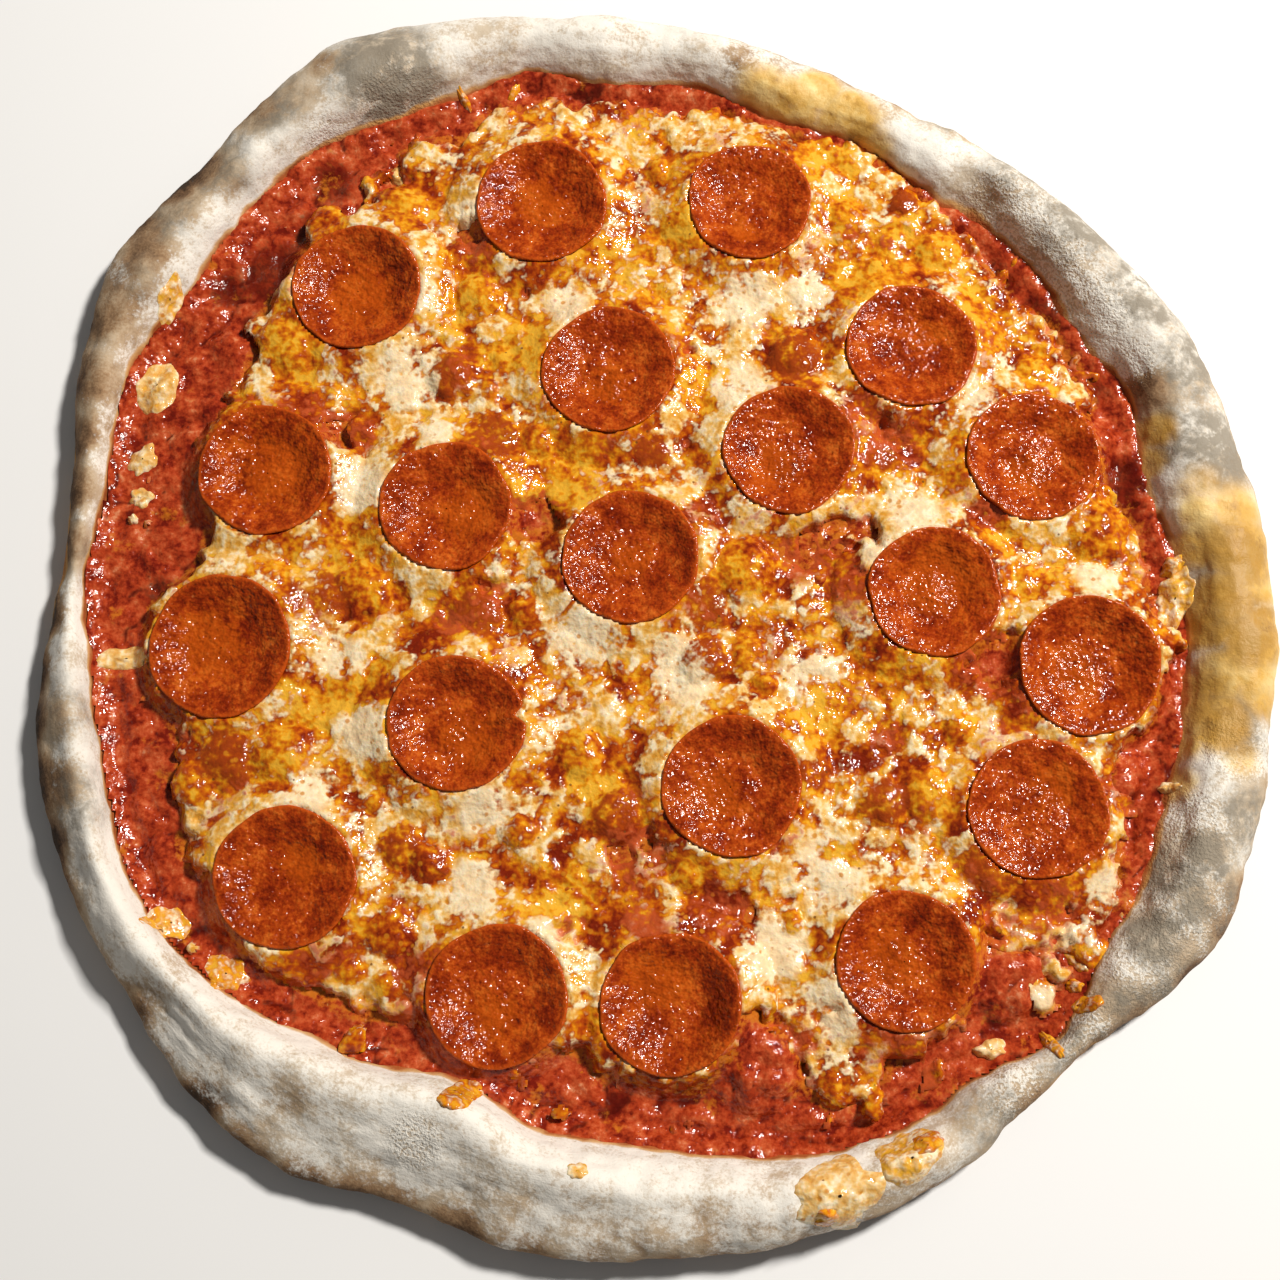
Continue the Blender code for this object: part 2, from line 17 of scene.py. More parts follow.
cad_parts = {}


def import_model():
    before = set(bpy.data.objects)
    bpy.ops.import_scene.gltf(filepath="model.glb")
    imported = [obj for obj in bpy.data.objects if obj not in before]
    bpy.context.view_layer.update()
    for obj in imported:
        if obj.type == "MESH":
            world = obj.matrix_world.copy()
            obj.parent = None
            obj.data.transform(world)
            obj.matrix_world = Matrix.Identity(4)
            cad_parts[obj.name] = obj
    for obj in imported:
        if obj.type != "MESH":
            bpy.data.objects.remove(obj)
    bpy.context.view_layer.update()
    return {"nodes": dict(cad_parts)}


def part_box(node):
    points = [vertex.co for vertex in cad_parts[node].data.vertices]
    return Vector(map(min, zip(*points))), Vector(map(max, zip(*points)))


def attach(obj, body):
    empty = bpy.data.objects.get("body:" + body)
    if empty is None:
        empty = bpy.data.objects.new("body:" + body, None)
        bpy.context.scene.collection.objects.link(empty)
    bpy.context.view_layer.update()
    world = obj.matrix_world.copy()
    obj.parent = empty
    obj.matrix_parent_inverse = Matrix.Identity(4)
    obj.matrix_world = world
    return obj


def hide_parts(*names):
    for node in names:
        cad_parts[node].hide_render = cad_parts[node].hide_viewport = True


MM = 0.001
TAU = math.tau

# ---------------------------------------------------------------- the pizza's own features and painted shade, mm

# Domes in the cheese: x, y, radius, height, how rust-brown, how amber, how golden, how red. What is
# left out at the end of a row is 0.
BLISTERS = (
    (-102, 71, 9.4, 3.2, 0.2, 0.9, 0.2), (-93, 107, 6, 2.2, 0.2, 0.9, 0, 0.3),
    (-72, 111, 7.8, 2.6, 0, 0.6, 0.8), (-49, 85, 7.2, 2.8, 0, 0.2, 1), (-56, 61, 7.2, 3, 0.9, 0.5),
    (-47, 57, 3.8, 1.6, 0.2, 1), (-45, 43, 7.4, 2.4, 0.9, 0.5), (-33, 42, 5.4, 2.2, 0.1, 0.9, 0.2),
    (-1, 39, 5.2, 2, 0.9, 0.5, 0, 0.2), (-91, -2, 9.4, 2.4, 0.8, 0.5),
    (-79, 1, 8.2, 3.2, 0, 0.8, 0.6, 0.1), (-35, -6, 4.8, 2, 0, 1, 0.2), (-48, -6, 7.2, 1.6, 1, 0.3),
    (-89, 56, 3.8, 1.4, 0, 1, 0.2), (-81, 46, 4.2, 1.8, 0, 0.1, 0, 1), (-57, 97, 3.6, 1.4, 0, 0.1, 0, 1),
    (39, 66, 9, 3.4, 0.8, 0.6), (45, 68, 5.2, 1.6, 0, 1, 0.4), (53, 108, 7, 2.4, 0, 0.1, 1),
    (79, 98, 6.4, 1.8, 0, 0.1, 0.9), (61, 92, 4, 1.4, 0, 0.1, 0.8), (92, 72, 5.6, 1.8, 0, 0.2, 1),
    (104, 62, 5.4, 2, 0, 0.2, 1), (23, 6, 9.6, 4.4, 0.1, 0.5, 0.8), (13, -4, 7.2, 2.2, 0.9, 0.6),
    (119, 17, 9.2, 3.6, 0.2, 0.7, 0.6), (99, 2, 6, 2.4, 0, 0.2, 1), (-113, -46, 8.8, 2.6, 0.9, 0.5),
    (-99, -45, 9, 3.8, 0, 0.5, 0.9), (-122, -52, 6.4, 2.2, 0.2, 0.9, 0.4),
    (-74, -22, 3.1, 1.5, 0, 0.2, 1), (-67, -68, 6, 2.2, 0.7, 0.7), (-59, -73, 5.8, 2.6, 0.4, 0.9),
    (-74, -57, 3.8, 1.6, 0.2, 0.9, 0.2), (-36, -65, 5, 2.2, 0.5, 0.8),
    (-69, -90, 7.4, 2.4, 0.2, 0.9, 0.2, 0.2), (-79, -101, 4.2, 1.8, 0.1, 1),
    (-70, -104, 3.8, 1.6, 0.2, 0.9), (-20, -44, 6.6, 2, 0, 0.4, 0.8), (29, -26, 4.4, 2.4, 0, 1),
    (13, -19, 7, 2.8, 0.8, 0.6), (24, -17, 5, 1.8, 0, 0.5, 0.8), (59, -57, 7.2, 2.8, 0.9, 0.5),
    (71, -55, 8.2, 3.2, 0, 0.7, 0.8), (41, -50, 5.2, 2.2, 0.6, 0.8), (80, -37, 5, 1.8, 0, 0.2, 1),
    (86, -74, 8, 3.2, 0.9, 0.1, 0, 0.5), (97, -79, 6.6, 2.6, 0, 0.2, 0, 1),
    (35, -88, 3.3, 1.6, 0, 1, 0.3), (35, -100, 5.2, 1.6, 0, 0.2, 1), (44, -129, 3.5, 1.6, 0, 1, 0.1),
    (8, -75, 5, 2, 0, 0.3, 0.8), (-11, -60, 7.6, 2.2, 0.7, 0.5, 0, 0.3),
    (55, -134, 4.2, 1.8, 0, 0.9, 0.2), (64, -119, 3.8, 1.6, 0, 0.9, 0.2), (-25, -135, 2.6, 1, 0, 1, 0.1),
    (70, 113, 4.2, 1.4, 0.9, 0.2, 0, 0.3), (1, 123, 4.6, 1.8, 0.2, 0.9, 0.2),
    (12, 123, 4.2, 1.6, 0.2, 0.9, 0.2), (-26, 26, 4, 1, 0, 0.1, 1), (-18, 40, 4, 1.2, 0, 0.8, 0.4),
    (61, 38, 6.2, 1, 0.9, 0.3, 0, 0.3), (-78, -118, 3.8, 1.8, 0, 0.9, 0.2),
)

# Smooth, thick cream patches: x, y, radius.
CREAM_PATCHES = (
    (-68, 60, 11), (-80, 28, 9), (-60, 45, 6), (-20, -12, 11), (5, -20, 9), (-52, 108, 6), (22, 58, 9),
    (24, 84, 10), (44, 86, 9), (-5, 96, 8), (-25, 82, 7), (70, 20, 8), (88, 52, 6), (118, 4, 7),
    (-92, -56, 8), (-76, -38, 10), (-84, -20, 8), (8, -24, 9), (42, -24, 10), (44, -75, 11),
    (30, -95, 10), (46, -110, 9), (-45, -60, 8), (-48, -80, 9), (-30, -92, 6), (60, 10, 6),
    (-46, -32, 5), (-66, 84, 6), (115, -80, 6), (109, -92, 6), (98, -107, 4),
)

# Oily yellow zones: x, y, radius.
GOLD_PATCHES = (
    (-30, 32, 15), (-6, 94, 12), (-81, -29, 10), (-68, 111, 7), (-91, 104, 6), (-100, 67, 8),
    (-38, 70, 10), (-58, 78, 7), (8, 104, 9), (14, 60, 8), (68, -18, 12), (42, -34, 10), (-66, -38, 8),
    (-16, -50, 9), (-24, -82, 10), (55, 88, 10), (72, 100, 12), (88, 80, 9), (-84, 12, 7), (-92, -34, 8),
    (48, -70, 6), (30, 120, 10), (50, 128, 9), (-90, -80, 5), (-40, -40, 6), (92, 14, 6), (-34, 100, 6),
)

# Thin cheese stained by the sauce under it: x, y, radius.
RED_PATCHES = (
    (-33, 22, 9), (40, 10, 11), (52, 2, 9), (86, -20, 12), (100, -30, 8), (-6, -72, 12), (14, -86, 10),
    (66, 42, 9), (56, 50, 8), (88, 22, 7), (-50, 100, 8), (-96, 48, 9), (-82, 44, 7), (-60, -100, 10),
    (-88, -98, 9), (60, -120, 12), (104, -84, 10), (-14, 42, 5), (12, 20, 7), (-56, -8, 6), (30, 40, 6),
    (-2, -92, 9), (-46, -6, 8), (60, -40, 7), (112, 44, 8), (40, -115, 8),
)

# Bubbles in the dough under bare sauce: x, y, radius, height.
SAUCE_BUBBLES = (
    (89, -103, 11, 4.6), (25, -125, 12, 5), (124, -51, 8, 3.6), (124, 43, 7, 3.6),
)

# Melted cheese on the rim: x, y, half length, half width, azimuth, height, tan, amber.
RIM_BITS = (
    (-138, 59, 8, 5.5, 70, 1.6, 0.5, 0.2), (-141, 38, 5, 4, 60, 1.4, 0.6, 0.2),
    (-141, 27, 3.6, 3.2, 0, 1, 0.4, 0.1), (-143, 21, 1.6, 1.4, 0, 1.4, 0, 0),
    (-142, -18, 8.5, 3.4, 5, 1.3, 0.2, 0.1), (-135, 83, 7, 2.4, 70, 1.2, 0.3, 0.5),
    (-126, -88, 6, 4, 150, 1.2, 0.2, 0.7), (-111, -101, 6, 4.5, 150, 1.2, 0.3, 0.8),
    (-49, -131, 5.5, 3.6, 20, 1.6, 0.1, 0.9), (-20, -149, 3, 2, 0, 0.8, 0.3, 0.3),
    (44, -155, 12, 9, 20, 1.6, 0, 0), (41, -160, 3.6, 2.6, 20, 2.4, 0.2, 0.9),
    (62, -146, 9, 6, 30, 1.8, 0.2, 0.5), (66, -143, 5, 2.6, 20, 2.8, 0.3, 0.9),
    (85, -120, 4.4, 2.6, 10, 2.2, 0, 0), (100, -119, 4, 1.6, 120, 1.6, 0.3, 0.8),
    (109, -109, 3.6, 2.2, 20, 1.4, 0.4, 0.9), (108, -97, 4.4, 2.6, 120, 1.2, 0.3, 0.7),
    (107, -104, 2.2, 1.8, 0, 1.2, 0.2, 0.8), (139, -2, 8.5, 4.6, 75, 1.8, 0.1, 0.5),
    (139, 7, 3.4, 2.6, 60, 2, 0, 0.7), (134, -53, 2.6, 1.6, 0, 1.2, 0, 0),
    (99, 82, 3.2, 2.6, 0, 2.2, 0, 0), (-73, 123, 3.4, 3, 0, 1.8, 0, 0),
    (-55, 146, 3.6, 1.3, 120, 1, 0.2, 0.9), (-41, 149, 3, 1.2, 60, 1, 0.2, 0.9),
    (-35, 139, 2, 1.8, 0, 1.2, 0, 0),
)

# Toasted places of the bread: x, y, radius, strength. The rows along the left outer edge, and the two on
# the right rim's inner slope at (134, 55) and (134, 45), are painted shade as well as toast.
TOAST_AND_SHADE_PATCHES = (
    (-142, 103, 8, 1.1), (-127, 122, 8, 1.1), (-121, 117, 7, 0.55), (-112, 140, 8, 0.9),
    (-103, 142, 8, 0.5), (-94, 152, 6, 0.9), (-132, 107, 10, 0.45), (-135, 116, 7, 1.1),
    (-141, 94, 10, 0.9), (-156, -54, 9, 0.6), (-157, -36, 7, 0.5), (-152, 76, 8, 0.9),
    (-147, 72, 8, 0.5), (-154, 58, 9, 0.9), (-150, 50, 8, 0.6), (149, -80, 6, 0.5), (143, -90, 6, 0.55),
    (134, -101, 6, 0.5), (122, -112, 7, 0.5), (110, -122, 7, 0.5), (95, -133, 7, 0.4),
    (116, -109, 7, 0.35), (-146, 85, 11, 0.8), (-158, 42, 8, 1), (-159, 28, 8, 1.1), (-160, 12, 8, 1.1),
    (-163, -6, 7, 1.1), (-165, -22, 6, 1.1), (-165, -36, 7, 1.1), (-163, -52, 8, 1.1),
    (-159, -68, 8, 1.1), (-157, -82, 7, 0.8), (-130, -107, 7, 0.7), (-122, -102, 8, 0.3),
    (-115, -133, 8, 0.8), (-104, -145, 8, 0.7), (-97, -140, 5, 0.4), (-92, -131, 7, 0.35),
    (-90, -152, 8, 0.5), (-70, -158, 12, 0.35), (-50, -166, 9, 0.6), (-36, -160, 10, 0.35),
    (-30, -168, 9, 0.5), (-14, -165, 8, 0.55), (-20, -158, 10, 0.3), (0, -168, 10, 0.5),
    (12, -163, 9, 0.5), (26, -160, 12, 0.4), (40, -168, 9, 0.4), (55, -160, 9, 0.35), (66, -148, 8, 0.4),
    (83, -130, 13, 0.35), (97, -122, 8, 0.3), (111, -110, 10, 0.45), (122, -108, 8, 0.4),
    (136, -98, 9, 0.4), (144, -86, 9, 0.5), (140, -70, 7, 0.3), (128, -70, 6, 0.3), (150, -62, 8, 0.3),
    (158, -30, 7, 0.5), (161, -10, 6, 0.6), (160, 12, 6, 0.6), (148, -31, 7, 0.8), (156, 33, 6, 0.5),
    (150, 55, 8, 0.3), (118, 92, 10, 0.35), (97, 112, 8, 0.35), (106, 98, 7, 0.3), (140, 76, 6, 0.3),
    (134, 55, 7, 0.9), (134, 45, 6, 0.8), (88, 135, 8, 0.3), (24, 155, 7, 0.8), (35, 152, 8, 0.4),
    (52, 150, 8, 0.4), (66, 143, 8, 0.4), (-10, 158, 8, 0.25), (-45, 160, 10, 0.3), (-53, 146, 6, 0.25),
)

# Oil-soaked yellow bread: x, y, radius, strength.
OILED = (
    (30, 145, 10, 0.8), (38, 140, 12, 0.9), (46, 146, 8, 1), (54, 136, 12, 0.95), (60, 128, 9, 0.8),
    (20, 140, 6, 0.4), (55, 141, 6, 1), (136, 44, 6, 0.8), (133, 36, 6, 0.9), (145, 20, 7, 0.8),
    (146, 12, 8, 1), (153, 8, 9, 0.9), (150, -4, 10, 1), (146, -10, 9, 1), (155, -15, 9, 0.9),
    (148, -24, 9, 0.9), (140, -28, 8, 1), (137, -40, 8, 0.9), (146, -37, 10, 1), (151, -46, 7, 0.6),
    (134, -52, 7, 0.8), (160, 3, 11, 1), (161, -14, 11, 1), (159, -28, 10, 0.9), (155, 20, 11, 0.8),
    (146, 26, 9, 0.6), (158, 10, 10, 1), (154, -22, 9, 1), (107, -102, 7, 0.5),
)

# Bare dough between the floury places: x, y, radius, strength. The rows along the left outer edge, on the
# top-left fold at (-76, 152) and on the right rim's inner slope at (134, 52) are painted shade as well as
# bare dough.
BARE_AND_SHADE_PATCHES = (
    (-76, 152, 15, 0.6), (-100, 143, 8, 0.7), (-112, 138, 8, 0.8), (-124, 122, 9, 0.8),
    (-133, 112, 9, 0.8), (-142, 98, 9, 0.8), (-156, -54, 9, 0.7), (-157, -36, 7, 0.6),
    (-151, 76, 9, 0.8), (-155, 62, 8, 0.9), (149, -80, 6, 0.6), (143, -90, 6, 0.7), (134, -101, 6, 0.7),
    (122, -112, 7, 0.7), (110, -122, 7, 0.6), (95, -133, 7, 0.5), (116, -110, 7, 0.6), (-158, 44, 8, 1),
    (-159, 28, 8, 1), (-160, 12, 8, 1), (-164, -8, 7, 1), (-166, -28, 6, 1), (-164, -48, 8, 1),
    (-159, -68, 8, 1), (-152, -86, 7, 0.9), (87, 113, 9, 0.5), (134, 52, 9, 0.9), (128, -70, 8, 0.7),
    (140, -70, 6, 0.7), (137, -82, 7, 0.7), (126, -91, 7, 0.7), (133, -96, 6, 0.6), (150, -36, 8, 0.5),
    (155, -55, 7, 0.5), (-76, -157, 11, 0.5), (-90, -133, 7, 0.3), (-50, -162, 10, 0.4),
    (56, -152, 12, 0.4), (70, -138, 10, 0.5),
)

# Thin, greyish flour, partly painted shade: the grey also darkens the top-left fold at (-77, 151), the left
# edge, and the rim at the right, which faces the light: x, y, radius, strength.
DULL_FLOUR_AND_SHADE = (
    (-77, 151, 17, 1.5), (-108, 140, 12, 0.9), (-123, 123, 12, 0.9), (-137, 107, 11, 0.8),
    (-144, 88, 10, 0.5), (-154, 7, 10, 0.4), (-154, -34, 12, 0.5), (-152, -58, 12, 0.8),
    (-140, -84, 12, 0.2), (84, 142, 12, 0.8), (104, 122, 14, 0.9), (120, 104, 16, 1), (136, 84, 16, 1),
    (146, 62, 14, 0.9), (152, 38, 14, 1.2), (158, 14, 10, 0.6), (156, -36, 12, 0.6), (153, -62, 11, 1.1),
    (150, -38, 9, 1.6), (130, -76, 9, 1.1), (141, -73, 9, 1.25), (139, -86, 9, 1.2), (127, -93, 9, 1.25),
    (147, -86, 9, 1.2), (133, -104, 9, 1.2), (120, -111, 9, 1), (147, -6, 12, 1.5), (155, -12, 12, 1.6),
    (154, 8, 12, 1.4), (141, -30, 10, 1.1), (140, 42, 10, 1.1), (106, -122, 14, 0.8),
    (84, -138, 12, 0.7), (10, 162, 12, 0.3), (-40, 160, 12, 0.3), (-60, -160, 14, 0.1),
)

# Thin cheese that strays towards the rim: x, y, radius, strength.
STRAYS = (
    (-68, 111, 7, 0.85), (-91, 104, 6, 0.7), (-100, 67, 8, 0.85), (-112, 76, 4, 0.6), (-80, 122, 5, 0.6),
    (137, -15, 6, 0.6), (105, -101, 7, 0.5), (114, -82, 9, 0.75), (110, -94, 8, 0.75),
    (98, -107, 6, 0.6), (100, -87, 9, 0.5), (91, -72, 8, 0.3), (104, -69, 8, 0.4), (120, -60, 7, 0.45),
    (89, -108, 7, 0.4), (68, -124, 6, 0.35), (50, -128, 7, 0.4), (-113, 11, 6, 0.4), (-126, -2, 5, 0.4),
    (-18, 139, 7, 0.3), (0, 138, 8, 0.4), (15, 137, 8, 0.45), (31, 133, 8, 0.45), (48, 126, 8, 0.45),
    (63, 116, 8, 0.4), (77, 108, 8, 0.35), (88, 99, 8, 0.35), (117, 14, 8, 0.4), (125, 4, 6, 0.3),
    (-92, -98, 7, 0.35),
)

# Where the sauce lies deeper and is painted dark, as painted shade, much of it the cast shadow of the rim:
# x, y, radius.
DEEP_SAUCE_AND_SHADE = (
    (128, 32, 8), (126, 22, 8), (94, 90, 9), (106, 78, 10), (118, 58, 8), (-108, 92, 12), (-96, 106, 8),
    (-134, 0, 6), (-124, -22, 6), (8, -128, 7), (-118, -60, 6), (-82, 110, 5), (-92, 121, 8),
    (-120, 88, 7), (-104, 98, 6), (112, -52, 6),
)

# Where the flour lies in grains: x, y, radius.
GRAINY = (
    (98, 106, 16), (108, 92, 14), (120, 78, 12), (128, 62, 9), (-72, 140, 14), (-90, 128, 10),
    (136, -66, 14), (134, -86, 14), (124, -100, 12), (108, -116, 12), (90, -130, 10), (150, -44, 10),
    (-60, -142, 8),
)

# Where the skin is creased along the rim, and where across it: x, y, radius.
CREASED_ALONG = (
    (-66, -134, 26), (-95, -124, 22), (-40, -146, 18), (-115, -112, 16),
)
CREASED_ACROSS = (
    (-20, -160, 22), (10, -162, 22), (40, -160, 18), (75, -130, 14), (150, 30, 14), (145, -80, 18),
    (80, 130, 14),
)

# Torn edge of a slice: number of the slice, azimuth, depth, half width in degrees.
TEARS = {
    14: (8, 2.6, 9),
}

# Place of the oil pool in a slice, as shares of its radius: number, x, y, size.
POOLS = {
    1: (0, 0.05, 0.5), 2: (-0.1, -0.5, 0.3), 3: (0.1, -0.1, 0.6), 4: (0, -0.2, 0.4), 5: (0.2, 0.2, 0.35),
    6: (-0.2, -0.3, 0.5), 7: (-0.1, -0.2, 0.4), 8: (0.1, 0.1, 0.75), 9: (0.3, -0.1, 0.5),
    10: (0, 0, 0.35), 11: (0.1, 0.2, 0.7), 12: (-0.1, 0.1, 0.6), 13: (-0.2, -0.1, 0.55),
    14: (0.2, -0.2, 0.55), 15: (-0.2, -0.1, 0.5), 16: (0.2, 0.3, 0.4), 17: (0.2, 0.2, 0.4),
    18: (-0.2, 0, 0.55), 19: (0, -0.3, 0.4), 20: (-0.2, 0.3, 0.5),
}


# ---------------------------------------------------------------- numbers from noise

FAR_CORNER = 512.0  # keeps all places on the positive side of the noise grids


def scramble(ix, iy, iz, seed):
    """A whole number from 0 to 2**32 that looks random but always comes out the same."""
    mixed = ix.astype(np.uint32) * np.uint32(374761393)
    mixed += iy.astype(np.uint32) * np.uint32(668265263)
    mixed += iz.astype(np.uint32) * np.uint32(2246822519)
    mixed += np.uint32(seed * 3266489917 % 2**32)
    mixed = (mixed ^ (mixed >> np.uint32(13))) * np.uint32(1274126177)
    mixed = (mixed ^ (mixed >> np.uint32(15))) * np.uint32(2654435761)
    return mixed ^ (mixed >> np.uint32(16))


def noise(points, size, seed):
    """Smooth gradient noise between about -1 and 1, with features of the given size."""
    scaled = points / size + FAR_CORNER
    corner = np.floor(scaled)
    part = scaled - corner
    corner = corner.astype(np.int64)
    ease = part * part * part * (part * (part * 6 - 15) + 10)
    total = np.zeros(len(points))
    for steps in itertools.product((0, 1), repeat=3):
        code = scramble(*(corner + steps).T, seed)
        reach = 0
        for axis, step in enumerate(steps):
            slope = ((code >> np.uint32(10 * axis)) & np.uint32(1023)) / 511.5 - 1
            reach = reach + slope * (part[:, axis] - step)
        for axis, step in enumerate(steps):
            reach = reach * (ease[:, axis] if step else 1 - ease[:, axis])
        total += reach
    return total * 1.7


def rough(points, size, seed):
    """Noise with two finer and weaker copies of itself added."""
    return sum(0.5**octave * noise(points, size / 2**octave, seed + octave) for octave in range(3))


def pebbles(x, y, size, seed):
    """Round lumps of uneven height, 0 to 1, about a size apart, round scattered seeds."""
    u, v = x / size + FAR_CORNER, y / size + FAR_CORNER
    cell_x, cell_y = np.floor(u).astype(np.int64), np.floor(v).astype(np.int64)
    nearest = np.full(len(x), 9.0)
    label = np.zeros(len(x))
    for dx, dy in itertools.product((-1, 0, 1), repeat=2):
        code = scramble(cell_x + dx, cell_y + dy, np.zeros_like(cell_x), seed)
        seed_x = cell_x + dx + (code & np.uint32(4095)) / 4096
        seed_y = cell_y + dy + ((code >> np.uint32(12)) & np.uint32(4095)) / 4096
        distance = np.hypot(u - seed_x, v - seed_y)
        label = np.where(distance < nearest, (code >> np.uint32(8)) % 1000 / 1000, label)
        nearest = np.minimum(nearest, distance)
    return np.clip(1 - (nearest / 0.75) ** 2, 0, 1) ** 0.6 * (0.3 + 0.7 * label)


def strands(points, size, seed):
    """Soft strands that join up: 1 along a strand, 0 in the pits between."""
    return np.clip(1 - np.abs(noise(points, size, seed)) / 0.46, 0, 1)


def billows(points, size, seed):
    """Rounded lumps of uneven shape with creases between them, 0 to about 1."""
    return np.abs(noise(points, size, seed)) ** 0.8 * 1.5


# ---------------------------------------------------------------- numbers from places

def span(low, high, value):
    """0 at low, 1 at high, with a smooth rise between. Works downwards too."""
    share = np.clip((value - low) / (high - low), 0, 1)
    return share * share * (3 - 2 * share)


def away(x, y, row):
    """Distance from the middle of a feature, as a share of its radius."""
    return np.hypot(x - row[0], y - row[1]) / row[2]


def dome(share):
    """A round hump, 1 in its middle and steep at its foot, where the share is 1."""
    return np.clip(1 - share**2, 0, 1) ** 0.8


def strengths(x, y, rows, soft=1.35, full=0.3):
    """The strongest of the patches at each place, fading towards their edges."""
    found = np.zeros(len(x))
    for row in rows:
        found = np.maximum(found, row[3] * span(soft, full, away(x, y, row)))
    return found


def patches(x, y, rows):
    """How much a place belongs to any of the patches, 0 to 1."""
    return strengths(x, y, [(*row, 1) for row in rows], 1.3, 0.35)


def sample(values, columns, pitch, x, y):
    """The value of a square grid at places between its corners."""
    values = values.reshape(-1, columns)
    reach = (columns - 1) * pitch / 2
    u = np.clip((x + reach) / pitch, 0, columns - 1.001)
    v = np.clip((y + reach) / pitch, 0, len(values) - 1.001)
    i, j = u.astype(int), v.astype(int)
    u, v = u - i, v - j
    below = values[j, i] * (1 - u) + values[j, i + 1] * u
    above = values[j + 1, i] * (1 - u) + values[j + 1, i + 1] * u
    return below * (1 - v) + above * v


def blur(values, radius, axis, mode):
    """Gaussian blur of an array along one axis, in the wrap or the edge mode of np.pad."""
    reach = int(3 * radius) + 1
    weights = np.exp(-0.5 * (np.arange(-reach, reach + 1) / radius) ** 2)
    weights /= weights.sum()
    pads = [(0, 0)] * values.ndim
    pads[axis] = (reach, reach)
    padded = np.pad(values, pads, mode=mode)
    total = np.zeros_like(values)
    for step, weight in enumerate(weights):
        picks = [slice(None)] * values.ndim
        picks[axis] = slice(step, step + values.shape[axis])
        total += weight * padded[tuple(picks)]
    return total


def in_direction(x, y, values):
    """The value of a measure, stored evenly all round a centre, in the direction of each place."""
    turn = (np.arctan2(y, x) % TAU) / TAU * len(values)
    return np.interp(turn, np.arange(len(values) + 1), np.append(values, values[0]))


def flat_grid(pitch, reach):
    """Places of a square grid, row by row, and its number of columns."""
    line = np.arange(-reach, reach + pitch, pitch)
    x, y = np.meshgrid(line, line)
    return x.ravel(), y.ravel(), len(line)


def flat_points(x, y, level=0.0):
    """Places on a plane."""
    return np.stack([x, y, np.full(len(x), level)], axis=1)


# ---------------------------------------------------------------- reading the frame

ABOVE = 60  # the height from which rays look down


def skin_of(obj):
    """The surface of a frame node, ready for rays."""
    corners = [tuple(vert.co) for vert in obj.data.vertices]
    return BVHTree.FromPolygons(corners, [tuple(face.vertices) for face in obj.data.polygons])


def ray(skin, start, direction):
    """How far a ray goes before it meets the skin, mm, or None."""
    found = skin.ray_cast(Vector(start) * MM, Vector(direction))
    return None if found[0] is None else found[3] / MM


def top_of(skin, x, y, above=ABOVE):
    """Height of a skin at a place, seen from above, or None beside it."""
    drop = ray(skin, (x, y, above), (0, 0, -1))
    return None if drop is None else above - drop


# ---------------------------------------------------------------- making meshes

def new_piece(name, corners, faces, mat, attributes):
    """A smooth mesh object from corners in mm, riding on the pizza."""
    data = bpy.data.meshes.new(name)
    faces = np.asarray(faces, dtype=np.int32)
    sides = faces.shape[1]
    data.vertices.add(len(corners))
    data.vertices.foreach_set("co", (np.asarray(corners) * MM).astype(np.float32).ravel())
    data.loops.add(faces.size)
    data.loops.foreach_set("vertex_index", faces.ravel())
    data.polygons.add(len(faces))
    data.polygons.foreach_set("loop_start", np.arange(0, faces.size, sides, dtype=np.int32))
    data.update(calc_edges=True)
    data.validate()
    data.shade_smooth()
    for label, values in attributes.items():
        layer = data.attributes.new(label, "FLOAT", "POINT")
        layer.data.foreach_set("value", np.asarray(values, dtype=np.float32))
    data.materials.append(mat)
    obj = bpy.data.objects.new(name, data)
    bpy.context.scene.collection.objects.link(obj)
    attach(obj, "root")
    return obj


def grid_faces(rows, columns, wrap):
    """Quads of a grid of corners stored row by row. With wrap, the last column joins the first."""
    across = np.arange(columns if wrap else columns - 1)
    row = np.arange(rows - 1)[:, None] * columns
    here = (row + across).ravel()
    beside = (row + (across + 1) % columns).ravel()
    return np.stack([here, beside, beside + columns, here + columns], axis=1)


def trimmed(corners, faces, attributes):
    """Drop the corners that no face uses."""
    used = np.unique(faces)
    place = np.full(len(corners), -1)
    place[used] = np.arange(len(used))
    return corners[used], place[faces], {label: values[used] for label, values in attributes.items()}


# ---------------------------------------------------------------- making materials

RIM_RADIUS = 165


